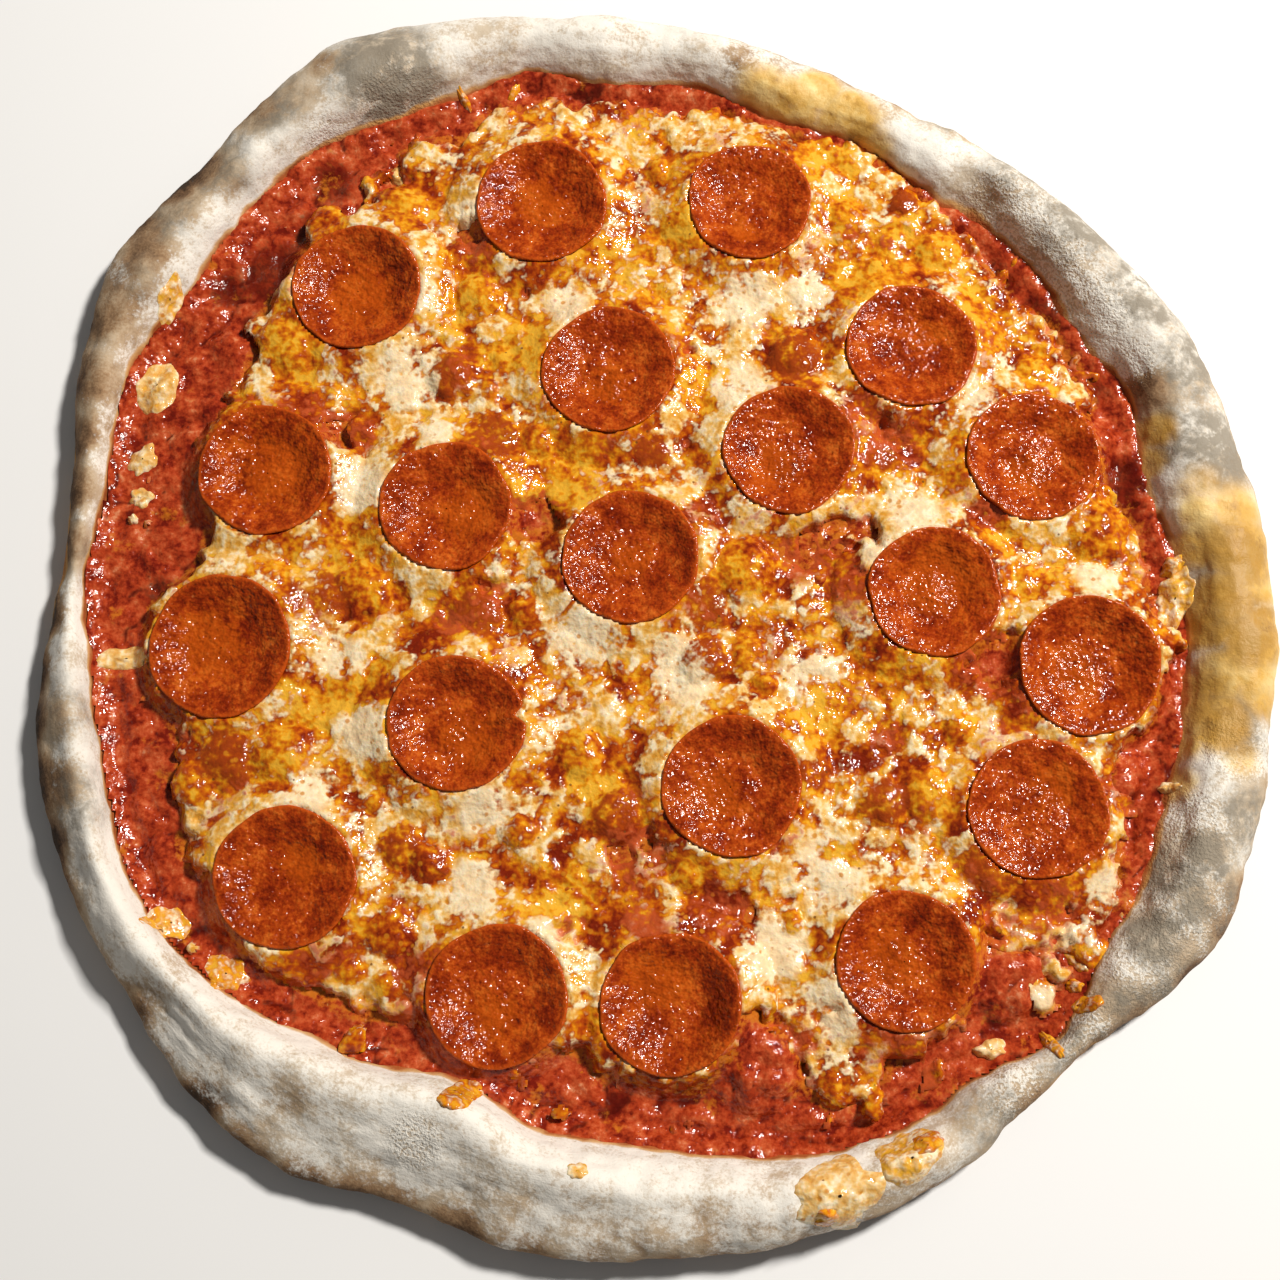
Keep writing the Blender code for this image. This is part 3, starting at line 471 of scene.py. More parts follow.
class Shade:
    """A node material built from short calls."""

    def __init__(self, name):
        self.mat = bpy.data.materials.new(name)
        self.mat.use_nodes = True
        self.tree = self.mat.node_tree
        self.shader = self.tree.nodes["Principled BSDF"]
        place = self.node("TexCoord", {}).outputs["Object"]
        self.where = self.node("VectorMath", {0: place, "Scale": 1 / MM}, operation="SCALE").outputs[0]

    def feed(self, socket, value):
        """Link a socket, or set a constant on it."""
        if isinstance(value, bpy.types.NodeSocket):
            self.tree.links.new(value, socket)
        elif isinstance(value, tuple):
            socket.default_value = (*value, 1.0)
        else:
            socket.default_value = value

    def node(self, kind, inputs, **settings):
        """A new node with its settings made and its inputs fed."""
        node = self.tree.nodes.new("ShaderNode" + kind)
        for label, value in settings.items():
            setattr(node, label, value)
        for label, value in inputs.items():
            self.feed(node.inputs[label], value)
        return node

    def attr(self, name, *noises):
        """A number stored on the mesh, made uneven by noises."""
        return self.stir(self.node("Attribute", {}, attribute_name=name).outputs["Fac"], *noises)

    def noise(self, size, detail, roughness):
        """Noise from 0 to 1 with features of a size in mm."""
        inputs = {"Vector": self.where, "Scale": 1 / size, "Detail": detail, "Roughness": roughness}
        return self.node("TexNoise", inputs).outputs["Fac"]

    def along_the_rim(self, size, length):
        """Noise from 0 to 1 in bands across the rim, a size wide and a length long, mm."""
        x, y, z = self.node("SeparateXYZ", {0: self.where}).outputs
        turn = self.times(self.math("ARCTAN2", y, x), RIM_RADIUS / length)
        radius = self.math("SQRT", self.math("ADD", self.times(x, x), self.times(y, y)))
        place = {0: turn, 1: self.times(radius, 1 / size), 2: self.times(z, 1 / size)}
        bands = self.node("CombineXYZ", place).outputs[0]
        return self.node("TexNoise", {"Vector": bands, "Scale": 1.0, "Detail": 2.0}).outputs["Fac"]

    def cell(self, size):
        """Distance from scattered seeds a size apart, in sizes."""
        return self.node("TexVoronoi", {"Vector": self.where, "Scale": 1 / size}).outputs["Distance"]

    def math(self, operation, first, second=0.0):
        """One sum."""
        return self.node("Math", {0: first, 1: second}, operation=operation).outputs[0]

    def times(self, first, second):
        """A product."""
        return self.math("MULTIPLY", first, second)

    def stir(self, value, *noises):
        """A value made uneven by noises around 0.5, each given with its amount."""
        for noise, amount in noises:
            value = self.math("ADD", value, self.times(self.math("SUBTRACT", noise, 0.5), amount))
        return value

    def span(self, value, low, high, bottom=0.0, top=1.0):
        """A smooth rise from bottom to top as a value goes from low to high."""
        inputs = {"Value": value, "From Min": low, "From Max": high, "To Min": bottom, "To Max": top}
        return self.node("MapRange", inputs, interpolation_type="SMOOTHSTEP").outputs["Result"]

    def mix(self, share, first, second):
        """Two colours mixed."""
        return self.node("Mix", {0: share, 6: first, 7: second}, data_type="RGBA").outputs[2]

    def over(self, base, colour, value, low, high, most=1.0):
        """A colour laid over a base, up to the most of it as a value goes from low to high."""
        return self.mix(self.span(value, low, high, 0.0, most), base, colour)

    def ramp(self, value, *stops):
        """A colour for each value, from pairs of value and colour."""
        node = self.node("ValToRGB", {0: value})
        band = node.color_ramp.elements
        while len(band) < len(stops):
            band.new(0.5)
        for element, (position, colour) in zip(band, stops):
            element.position = position
            element.color = (*colour, 1.0)
        return node.outputs[0]

    def bump(self, height, distance, under=None):
        """Relief from a height between 0 and 1, distance mm deep, on top of other relief."""
        inputs = {"Strength": 1.0, "Distance": distance * MM, "Height": height}
        if under is not None:
            inputs["Normal"] = under
        return self.node("Bump", inputs).outputs[0]

    def set(self, **values):
        """Set or link the shader's own sockets; underscores stand for spaces."""
        for label, value in values.items():
            self.feed(self.shader.inputs[label.replace("_", " ")], value)
        return self.mat


def crust_material():
    """Baked dough: floury and pale, toasted tan to brown, with yellow oily zones; the toast and the grey of
    thin flour also carry painted shade.
    """
    shade = Shade("baked_crust")
    cloud = shade.noise(8.0, 4.0, 0.6)
    dust = shade.noise(2.6, 4.0, 0.65)
    grain = shade.noise(0.8, 2.0, 0.6)
    toast_and_shade = shade.attr("toast_and_shade", (cloud, 1.0), (grain, 0.5))
    bread = shade.ramp(
        toast_and_shade,
        (0.0, (0.58, 0.48, 0.36)),
        (0.30, (0.50, 0.37, 0.24)),
        (0.55, (0.33, 0.20, 0.105)),
        (0.80, (0.15, 0.080, 0.040)),
        (1.0, (0.05, 0.027, 0.014)),
    )
    grainy = shade.attr("grainy")
    flour = shade.attr("flour", (dust, 1.1), (grain, shade.span(grainy, 0, 1, 0.9, 2.6)))
    floury = shade.over(bread, (0.87, 0.83, 0.755), flour, 0.25, 0.80, 0.92)
    # Grey of thin flour, which is partly painted shade, mottled by noise.
    dull_flour_and_shade = shade.times(shade.attr("dull_flour_and_shade"), shade.stir(1.0, (dust, 3.0), (cloud, 2.8)))
    floury = shade.over(floury, (0.25, 0.213, 0.163), dull_flour_and_shade, 0.0, 1.3, 0.92)
    soaked = shade.ramp(
        shade.stir(0.55, (cloud, 1.1), (dust, 0.6)),
        (0.15, (0.36, 0.17, 0.025)),
        (0.45, (0.66, 0.39, 0.095)),
        (0.75, (0.82, 0.60, 0.25)),
    )
    # Darker oily bread where the grey flour and the toast are strong, both partly painted shade.
    soaked = shade.over(soaked, (0.36, 0.17, 0.020), dull_flour_and_shade, 0.0, 1.3, 0.75)
    soaked = shade.over(soaked, (0.20, 0.085, 0.02), toast_and_shade, 0.5, 0.95)
    oil = shade.attr("oil", (dust, 0.5))
    oily = shade.over(floury, soaked, oil, 0.10, 0.85)
    stain = shade.attr("stain", (dust, 0.4))
    stained = shade.over(oily, (0.56, 0.29, 0.080), stain, 0.12, 0.55, 0.9)
    stained = shade.over(stained, (0.36, 0.09, 0.020), stain, 0.50, 0.95)
    relief = shade.bump(shade.times(grain, shade.span(grainy, 0, 1, 0.22, 1.0)), 0.55)
    relief = shade.bump(dust, 0.22, relief)
    creases = shade.times(shade.along_the_rim(1.15, 9.0), shade.attr("creased"))
    return shade.set(
        Base_Color=stained,
        Roughness=shade.span(oil, 0.3, 0.9, 0.85, 0.45),
        Normal=shade.bump(creases, 0.15, relief),
        Specular_IOR_Level=0.2,
    )


def sauce_material():
    """Cooked tomato: wet red pulp with painted shade in its hollows and orange oil."""
    shade = Shade("tomato_sauce")
    cloud = shade.noise(6.0, 4.0, 0.6)
    pulp = shade.noise(1.8, 3.0, 0.6)
    mash = shade.noise(1.5, 1.0, 0.5)
    red = shade.ramp(
        shade.stir(0.46, (cloud, 1.9), (pulp, 1.4)),
        (0.1, (0.16, 0.009, 0.003)),
        (0.45, (0.39, 0.043, 0.010)),
        (0.75, (0.53, 0.095, 0.028)),
        (1.0, (0.66, 0.24, 0.11)),
    )
    # Painted shade: near-black red in the pulp's pits and the listed deep places.
    red = shade.over(red, (0.075, 0.003, 0.001), shade.attr("painted_hollow_shade", (pulp, 1.2)), 0.25, 1.0, 0.92)
    red = shade.over(red, (0.54, 0.15, 0.010), shade.attr("oil", (pulp, 1.8)), 0.25, 0.8, 0.9)
    return shade.set(
        Base_Color=red,
        Roughness=shade.span(pulp, 0.42, 0.58, 0.10, 0.24),
        Normal=shade.bump(mash, 0.42),
        Specular_IOR_Level=0.26,
    )


def cheese_material(name):
    """Melted cheese: soft cream curd, pits and pools of yellow to red-brown fat, red where it is thin; the
    fat is also darker in the hollows, as painted shade.
    """
    shade = Shade(name)
    fine = shade.noise(1.0, 1.0, 0.5)
    fleck = shade.noise(2.0, 1.5, 0.5)
    cloud = shade.noise(4.5, 3.0, 0.6)
    fat = shade.ramp(
        shade.attr("browning_and_hollow_shade", (fleck, 1.8), (cloud, 1.4)),
        (0.0, (0.76, 0.39, 0.030)),
        (0.22, (0.70, 0.27, 0.006)),
        (0.45, (0.56, 0.145, 0.003)),
        (0.70, (0.40, 0.058, 0.002)),
        (1.0, (0.20, 0.014, 0.001)),
    )
    fat = shade.over(fat, (0.32, 0.048, 0.004), shade.attr("rust", (fleck, 1.6)), 0.35, 0.95, 0.8)
    curd = shade.ramp(
        shade.stir(0.5, (fleck, 2.2), (cloud, 2.0)),
        (0.05, (0.68, 0.31, 0.035)),
        (0.45, (0.80, 0.49, 0.150)),
        (0.95, (0.90, 0.75, 0.49)),
    )
    curd = shade.over(curd, (0.90, 0.77, 0.55), shade.attr("pale"), 0.1, 0.9, 0.6)
    blend = shade.over(fat, curd, shade.attr("cream", (fleck, 1.5), (fine, 0.3)), 0.24, 0.84)
    pits = shade.times(shade.span(shade.cell(3.1), 0.30, 0.14), shade.span(cloud, 0.45, 0.53))
    blend = shade.mix(shade.times(pits, 0.8), blend, (0.56, 0.20, 0.010))
    blend = shade.over(blend, (0.50, 0.085, 0.020), shade.attr("blush", (fleck, 2.0)), 0.3, 0.95, 0.85)
    blend = shade.over(blend, (0.16, 0.05, 0.01), shade.cell(5.5), 0.085, 0.045, 0.8)
    return shade.set(
        Base_Color=blend,
        Roughness=shade.span(fleck, 0.42, 0.58, 0.07, 0.18),
        Normal=shade.bump(fine, 0.08, shade.bump(fleck, 0.42)),
        Specular_IOR_Level=0.34,
        Subsurface_Weight=0.12,
        Subsurface_Radius=Vector((1.0, 0.4, 0.12)),
        Subsurface_Scale=0.0007,
    )


def pepperoni_material():
    """Cured meat: fine-grained orange-red with fat flecks, oily, brighter at its edge."""
    shade = Shade("pepperoni")
    grain = shade.noise(1.3, 4.0, 0.65)
    fine = shade.noise(0.6, 3.0, 0.6)
    cloud = shade.noise(6.0, 3.0, 0.6)
    blister = shade.noise(1.35, 1.0, 0.5)
    meat = shade.ramp(
        shade.stir(0.46, (cloud, 1.6), (grain, 1.3), (fine, 0.6)),
        (0.05, (0.15, 0.010, 0.001)),
        (0.35, (0.28, 0.028, 0.002)),
        (0.6, (0.42, 0.058, 0.004)),
        (0.9, (0.60, 0.13, 0.014)),
    )
    flecks = shade.times(shade.span(shade.cell(2.2), 0.22, 0.1), shade.span(grain, 0.5, 0.62))
    meat = shade.mix(shade.times(flecks, 0.5), meat, (0.60, 0.20, 0.06))
    pool = shade.attr("pool", (grain, 1.2), (cloud, 1.8))
    meat = shade.over(meat, (0.50, 0.085, 0.002), pool, 0.25, 0.9, 0.45)
    return shade.set(
        Base_Color=shade.over(meat, (0.52, 0.08, 0.006), shade.attr("edge"), 0.92, 0.99, 0.7),
        Roughness=shade.span(fine, 0.42, 0.58, 0.08, 0.18),
        Normal=shade.bump(blister, 0.60),
        Specular_IOR_Level=0.24,
    )


# ---------------------------------------------------------------- the bread

BASE_TOP = 3.5
AROUND = 1000
SECTION = 84
UNDER_RINGS = 7
OUTSIDE = 230  # radius from which rays look inwards for the rim
INSIDE = 60  # radius from which rays look outwards for the rim
RIM_HALF_UP = 6
CENTRE_SHARE = 0.42  # height of a section's centre, as a share of the rim's height
LAST_ANGLE = math.radians(-105)
INNERMOST = 0.4  # radius of the smallest rings, which close the skin


class Rim:
    """The rim's place and form all round, read from the frame's crust."""

    def __init__(self, skin):
        azimuth = np.arange(AROUND) * TAU / AROUND
        self.cos, self.sin = np.cos(azimuth), np.sin(azimuth)
        outer, inner, high = [], [], []
        for c, s in zip(self.cos, self.sin):
            outer.append(OUTSIDE - ray(skin, (OUTSIDE * c, OUTSIDE * s, RIM_HALF_UP), (-c, -s, 0)))
            inner.append(INSIDE + ray(skin, (INSIDE * c, INSIDE * s, BASE_TOP + 1), (c, s, 0)))
        self.outer = blur(np.array(outer), 4, 0, "wrap")
        self.inner = blur(np.array(inner), 4, 0, "wrap")
        self.middle = self.outer - 0.5 * (self.outer - self.inner)
        for c, s, radius in zip(self.cos, self.sin, self.middle):
            high.append(top_of(skin, radius * c, radius * s, above=80))
        self.high = blur(np.array(high), 5, 0, "wrap")

    def inside(self, x, y):
        """How far each place lies inside the foot of the rim."""
        return in_direction(x, y, self.inner) - np.hypot(x, y)

    def circle(self, radius, height):
        """A ring of corners, one for each azimuth."""
        return np.stack([radius * self.cos, radius * self.sin, np.full(AROUND, height)], axis=-1)


def crust_relief(points, across):
    """How far the bread's skin stands out from its plain form."""
    x, y, _ = points.T
    relief = 1.0 * noise(points, 24, 11) + 0.65 * noise(points, 11, 12) + 0.32 * noise(points, 5.5, 13)
    relief += 0.20 * noise(points, 2.6, 14)
    along = np.arctan2(y, x) * RIM_RADIUS
    warp = 2.5 * noise(points, 16, 17)
    lines = flat_points(along / 14, (across * 25 + warp) / 3.0)
    spokes = flat_points((along + warp) / 6.5, across * 1.6)
    relief += patches(x, y, CREASED_ALONG) * 0.40 * noise(lines, 1, 18)
    relief += patches(x, y, CREASED_ACROSS) * 0.60 * noise(spokes, 1, 19)
    return relief


def make_crust(skin, rim):
    """The bread's skin, section by section round the rim, closed below and under the sauce."""
    centre_z = CENTRE_SHARE * rim.high
    foot_angle = np.arctan2(BASE_TOP - centre_z, rim.inner - rim.middle) % TAU
    share = np.linspace(0, 1, SECTION)
    angles = foot_angle[:, None] * (1 - share) + LAST_ANGLE * share
    reach = np.zeros((AROUND, SECTION))
    for i, (c, s) in enumerate(zip(rim.cos, rim.sin)):
        start = (rim.middle[i] * c, rim.middle[i] * s, centre_z[i])
        for j, angle in enumerate(angles[i]):
            out = math.cos(angle)
            reach[i, j] = ray(skin, start, (out * c, out * s, math.sin(angle)))
    reach = blur(blur(reach, 4, 0, "wrap"), 1.8, 1, "edge")

    def place(distance):
        radius = rim.middle[:, None] + distance * np.cos(angles)
        height = centre_z[:, None] + distance * np.sin(angles)
        return np.stack([radius * rim.cos[:, None], radius * rim.sin[:, None], height], axis=-1)

    plain = place(reach).reshape(-1, 3)
    width = (rim.outer - rim.inner)[:, None]
    across = ((rim.outer[:, None] - rim.middle[:, None] - reach * np.cos(angles)) / width).ravel()
    relief = crust_relief(plain, across).reshape(AROUND, SECTION)
    body = place(reach + relief)
    body[..., 2] = np.maximum(body[..., 2], 0.0)
    body[:, -1, 2] = 0.0
    radius = np.hypot(body[..., 0], body[..., 1])
    rows = [rim.circle(radius[:, 0] * share_in, BASE_TOP) for share_in in (INNERMOST / 150, 0.97)]
    rows += [body[:, j] for j in range(SECTION)]
    for ring in range(1, UNDER_RINGS + 1):
        share_in = ring / UNDER_RINGS
        rows.append(rim.circle(radius[:, -1] * (1 - share_in) + INNERMOST * share_in, 0.0))
    corners = np.concatenate(rows)
    faces = grid_faces(len(rows), AROUND, True)[:, ::-1]
    crust = new_piece("crust_skin", corners, faces, crust_material(), crust_tones(corners, rim))
    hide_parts("crust")
    return crust


def crust_tones(corners, rim):
    """How toasted, floury, oily and stained the bread is at each corner; the toast and the grey flour
    include painted shade.
    """
    x, y, z = corners.T
    outer = in_direction(x, y, rim.outer)
    inner = in_direction(x, y, rim.inner)
    across = (outer - np.hypot(x, y)) / (outer - inner)
    broad = noise(corners, 20, 31)
    patchy = noise(corners, 8, 32)
    below = z < 0.3
    # Darker towards the low outer wall all round: toast, and painted shade standing in for the shade on the
    # outer walls.
    wall_toast_and_shade = span(15, 3, z) * span(0.40, 0.04, across)
    # Toast from the listed patches, some of which are painted shade.
    toasted = strengths(x, y, TOAST_AND_SHADE_PATCHES)
    toast_and_shade = 0.10 + 0.50 * wall_toast_and_shade + 0.16 * broad + 0.12 * patchy + 0.55 * toasted
    toast_and_shade = np.where(below, 0.42 + 0.22 * rough(corners, 11, 34), toast_and_shade)
    # Bare dough from the listed patches, some of which are painted shade.
    bare_and_shade = strengths(x, y, BARE_AND_SHADE_PATCHES)
    flour = 0.70 + 0.22 * patchy + 0.18 * broad - 0.60 * wall_toast_and_shade - 0.7 * bare_and_shade - 0.4 * toasted
    wobble = 2.2 * noise(corners, 8, 35) + 1.0 * noise(corners, 3, 36)
    low = span(9.5, 6.2, z + 0.5 * wobble)
    flour_kept = span(0.75, 0.45, toast_and_shade) * (1 - 0.6 * bare_and_shade * span(0.55, 0.25, across))
    return {
        "toast_and_shade": toast_and_shade,
        "flour": np.where(below, 0.3 + 0.4 * patchy, flour),
        "stain": low * span(14.0, 4.0, -rim.inside(x, y)) * span(0.0, 1.0, z),
        "oil": strengths(x, y, OILED) * span(0.0, 3.0, z),
        # Grey thin flour, partly painted shade.
        "dull_flour_and_shade": strengths(x, y, DULL_FLOUR_AND_SHADE) * flour_kept,
        "grainy": patches(x, y, GRAINY),
        "creased": 0.35 + 0.65 * patches(x, y, CREASED_ALONG),
    }


# ---------------------------------------------------------------- sauce and cheese

SAUCE_LEVEL = 4.9
SAUCE_PITCH = 1.0
SAUCE_REACH = 162
SAUCE_CLEAR_OF_RIM = 8
FILM_REACH = 9
FILM_FULL = 1.4
FILM_GONE = -1.9  # the film is left out where it would lie this far below the bread
CHEESE_LEVEL = 7.9
CHEESE_PITCH = 0.86
CHEESE_REACH = 156
CHEESE_ON_RIM = 1.5
CHEESE_SUNK = 0.8  # how far the sheet sinks into the sauce where there is no cheese
CHEESE_CUT = 0.6  # the sheet is left out where it lies lower than this in the sauce
SLICE_GAP = 0.15
BANK_REACH = 9
BANK_BELOW_LIP = 0.9
BANK_FALL = 0.42
SAUCE_BANK_DROP = 1.3
SAUCE_BANK_FALL = 0.6
NOWHERE = 999.0


def sauce_pulp(points):
    """Lumps of the sauce."""
    shift = np.stack([2.0 * noise(points, 8, 48), 2.0 * noise(points, 8, 49), points[:, 2]], axis=1)
    bent = points + shift
    lumps = 1.35 * billows(bent, 9.5, 42) + 0.55 * billows(bent, 5.0, 43)
    return lumps - 0.75 + 0.55 * noise(points, 16, 41) + 0.14 * noise(points, 2.4, 44)


def sauce_height(x, y, rim):
    """Top of the sauce."""
    points = flat_points(x, y)
    height = SAUCE_LEVEL + sauce_pulp(points) - 0.7 * patches(x, y, DEEP_SAUCE_AND_SHADE)
    height += 1.5 * span(14, 40, rim.inside(x, y))
    lump = 1 + 0.25 * noise(points, 6, 45)
    for row in SAUCE_BUBBLES:
        height += row[3] * dome(away(x, y, row)) * lump
    return height


def sauce_film(x, y, rim, skin):
    """Height of the bread near the rim, and how thick the sauce lies on it there."""
    to_rim = rim.inside(x, y)
    ground = np.full(len(x), BASE_TOP)
    near = (to_rim < FILM_REACH) & (np.hypot(x, y) < in_direction(x, y, rim.middle))
    for i in np.flatnonzero(near):
        ground[i] = top_of(skin, x[i], y[i]) or BASE_TOP
    points = flat_points(x, y)
    wobble = 0.7 * noise(points, 9, 38) + 0.5 * noise(points, 3.6, 39)
    film = 1.9 * span(7.6, 5.2, ground + wobble) - 0.45 - 2.0 * span(7.3, 9.3, ground + wobble)
    return ground, np.where(near, film, FILM_FULL), near, span(FILM_REACH, 2, to_rim)


def around_slices(x, y, slices):
    """Distance beyond the nearest slice, the slices' undersides and the bank that rises to them."""
    beyond = np.full(len(x), NOWHERE)
    roof = np.full(len(x), NOWHERE)
    bank = np.zeros(len(x))
    for piece in slices:
        beyond = np.minimum(beyond, piece.distance(x, y))
        roof = np.minimum(roof, piece.underside(x, y))
        bank = np.maximum(bank, piece.bank(x, y))
    return beyond, roof, bank


def banked(height, beyond, roof, bank):
    """The sauce's height with its banks round the slices."""
    slope = bank - SAUCE_BANK_DROP - SAUCE_BANK_FALL * np.maximum(beyond, 0)
    return np.minimum(np.maximum(height, slope), roof - SLICE_GAP)


def make_sauce(rim, crust, slices, cover, cover_columns):
    """The sauce, from the middle out to where it thins on the rim."""
    x, y, columns = flat_grid(SAUCE_PITCH, SAUCE_REACH)
    points = flat_points(x, y)
    ground, film, near, share = sauce_film(x, y, rim, skin_of(crust))
    pulp = sauce_pulp(points)
    thin = ground + film + 0.7 * pulp * span(-0.2, 1.0, film)
    height = sauce_height(x, y, rim) * (1 - share) + thin * share
    height = banked(height, *around_slices(x, y, slices))
    seep = span(-0.42, -0.15, sample(cover, cover_columns, CHEESE_PITCH, x, y))
    attributes = {
        # Painted shade: the pulp's pits and the listed deep places, standing in for the shade that falls in
        # them.
        "painted_hollow_shade": span(-0.1, -0.85, pulp) + 0.8 * patches(x, y, DEEP_SAUCE_AND_SHADE),
        "oil": 0.5 * span(0.25, 0.8, noise(points, 9, 46) + 0.3 * noise(points, 3, 47)) + 0.55 * seep,
    }
    kept = ((rim.inside(x, y) > SAUCE_CLEAR_OF_RIM) | near) & (film > FILM_GONE)
    faces = grid_faces(columns, columns, False)
    faces = faces[kept[faces].all(axis=1)]
    corners, faces, attributes = trimmed(np.stack([x, y, height], axis=1), faces, attributes)
    sauce = new_piece("sauce_layer", corners, faces, sauce_material(), attributes)
    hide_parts("sauce")
    return sauce


def cover_field(skin, x, y, columns):
    """About 0.5 well inside the cheese, -0.5 well outside, 0 along its edge."""
    covered = np.zeros(len(x))
    points = flat_points(x, y)
    from_x = x + 6.0 * noise(points, 15, 53) + 3.4 * noise(points, 6, 54)
    from_y = y + 6.0 * noise(points, 15, 56) + 3.4 * noise(points, 6, 57)
    for i in np.flatnonzero(np.hypot(from_x, from_y) < CHEESE_REACH):
        covered[i] = top_of(skin, from_x[i], from_y[i]) is not None
    covered = covered.reshape(columns, columns)
    return blur(blur(covered, 3.8, 0, "edge"), 3.8, 1, "edge").ravel() - 0.5


def blister_fields(points):
    """Height of the blisters and how rust, amber, golden and red they are."""
    height = np.zeros(len(points))
    inside = np.zeros(len(points))
    tones = {label: np.zeros(len(points)) for label in ("rust", "amber", "gold", "red")}
    x = points[:, 0] + (1.5 * noise(points, 6, 73) + 0.5 * noise(points, 2.6, 74))
    y = points[:, 1] + (1.5 * noise(points, 6, 75) + 0.5 * noise(points, 2.6, 76))
    for row in BLISTERS:
        share = away(x, y, row)
        height = np.maximum(height, row[3] * dome(share))
        cover = span(1.25, 0.6, share)
        inside = np.maximum(inside, cover)
        for label, amount in zip(tones, row[4:]):
            tones[label] = np.maximum(tones[label], amount * cover)
    return height, inside, tones


def cheese_tones(points, cover, red_places, inside, tones):
    """The cheese's colour fields at each place, and its fine relief."""
    x, y = points[:, 0], points[:, 1]
    cream = patches(x, y, CREAM_PATCHES)
    gold = patches(x, y, GOLD_PATCHES)
    red = red_places * (1 - 0.6 * cream)
    thin = span(0.22, -0.12, cover)

    shift_x = 3.2 * noise(points, 9, 61) + 1.4 * noise(points, 4, 59)
    shift_y = 3.2 * noise(points, 9, 62) + 1.4 * noise(points, 4, 60)
    warped = flat_points(x + shift_x, y + shift_y)
    broad, fine = strands(warped, 5.6, 63), strands(warped, 2.8, 64)
    swirl = 0.62 * noise(warped, 14, 65) + 0.58 * noise(warped, 7, 66) + 0.36 * noise(warped, 3.4, 67)
    threads = 0.42 * (broad - 0.42) + 0.26 * (fine - 0.42)
    lean = 0.80 * cream - 0.95 * gold - 0.50 * red - 0.46 * inside - 0.35 * thin
    lumps = span(0.40, 0.75, pebbles(x + 0.6 * shift_x, y + 0.6 * shift_y, 8.0, 85)) * (1 - inside)
    curd = 0.22 + 1.0 * swirl + threads + lean + 0.6 * lumps

    # Browning of the fat; the swirl term also makes the low places darker, as fat pooled there and as
    # painted shade in the hollows.
    heat_and_hollow_shade = 0.55 + 0.60 * noise(warped, 10, 68) + 0.32 * noise(warped, 4.4, 69) - 0.22 * swirl
    heat_and_hollow_shade += 0.34 * red - 0.36 * gold - 0.08 * cream + 0.25 * thin
    toasted = 0.36 + 0.20 * tones["amber"] + 0.45 * tones["red"] + 0.3 * tones["rust"] - 0.3 * tones["gold"]
    heat_and_hollow_shade = heat_and_hollow_shade * (1 - 0.6 * inside) + 0.6 * inside * toasted
    rust = tones["rust"] + 0.4 * tones["amber"] * span(0.0, 0.8, noise(points, 5, 78))
    stained = span(0.10, 0.60, noise(points, 12, 81))
    blush = (0.75 * thin + 0.55 * red + 0.45 * stained) * (1 - 0.8 * cream)

    knobs = 0.7 * billows(warped, 6.5, 70) + 0.35 * billows(warped, 3.0, 71)
    detail = 0.75 * swirl + 0.55 * threads + 0.9 * (knobs - 0.45) + 0.10 * noise(points, 1.9, 72)
    smooth = np.maximum(np.maximum(0.5 * cream, 0.75 * inside), 0.6 * lumps)
    calm = 0.2 + 0.4 * noise(points, 5.5, 77) + 0.15 * noise(points, 2.8, 80)
    detail = detail * (1 - smooth) + smooth * calm + 0.35 * cream + 0.6 * lumps - 0.6 * red * (1 - inside)
    looks = {"cream": curd, "browning_and_hollow_shade": heat_and_hollow_shade, "rust": rust, "pale": cream, "blush": blush}
    return looks, detail


def make_cheese(skin, rim, slices):
    """The cheese sheet: curds in fat, blisters, thin red places and ragged gaps."""
    x, y, columns = flat_grid(CHEESE_PITCH, CHEESE_REACH)
    points = flat_points(x, y)
    beyond, roof, bank = around_slices(x, y, slices)
    free = span(-3.0, 1.0, beyond)
    ragged = 0.28 * noise(points, 13, 50) + 0.34 * noise(points, 6.5, 51) + 0.26 * noise(points, 3.2, 52)
    red = patches(x, y, RED_PATCHES)
    plain_cover = cover_field(skin, x, y, columns)
    blister_height, inside, tones = blister_fields(points)
    cover = plain_cover + (ragged - 0.14 * red) * free + strengths(x, y, STRAYS) + 0.8 * inside
    thick = span(-0.26, 0.22, cover)

    looks, detail = cheese_tones(points, cover, red, inside, tones)
    height = CHEESE_LEVEL + 0.45 * noise(points, 22, 79) + detail + blister_height
    height = np.maximum(height, bank + 0.6 * detail)
    height = np.minimum(height, roof - SLICE_GAP)
    sauce = banked(sauce_height(x, y, rim), beyond, roof, bank)
    height = sauce - CHEESE_SUNK + (height - sauce + CHEESE_SUNK) * thick
    keep = (height > sauce - CHEESE_CUT) & (rim.inside(x, y) > -CHEESE_ON_RIM)
    keep |= (beyond < -2) & (cover > 0)
    faces = grid_faces(columns, columns, False)
    faces = faces[keep[faces].all(axis=1)]
    corners, faces, attributes = trimmed(np.stack([x, y, height], axis=1), faces, looks)
    cheese = new_piece("cheese_layer", corners, faces, cheese_material("melted_cheese"), attributes)
    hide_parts("cheese")
    return plain_cover, columns


# ---------------------------------------------------------------- slices

SLICE_AROUND = 128
SLICE_RINGS = 40
LIP_SHARE = 0.92  # share of the radius at which the curl is read from the frame
LIP_THIN = 0.6
CURL = 1.2

# Rings of a slice below its top: share of the radius, share of the lip's height.
EDGE_RINGS = (
    (0.02, 0), (0.3, 0), (0.6, 0), (0.85, 0), (0.96, 0),
    (0.985, 0.15), (1.0, 0.42), (0.998, 0.7), (0.985, 0.92),
)


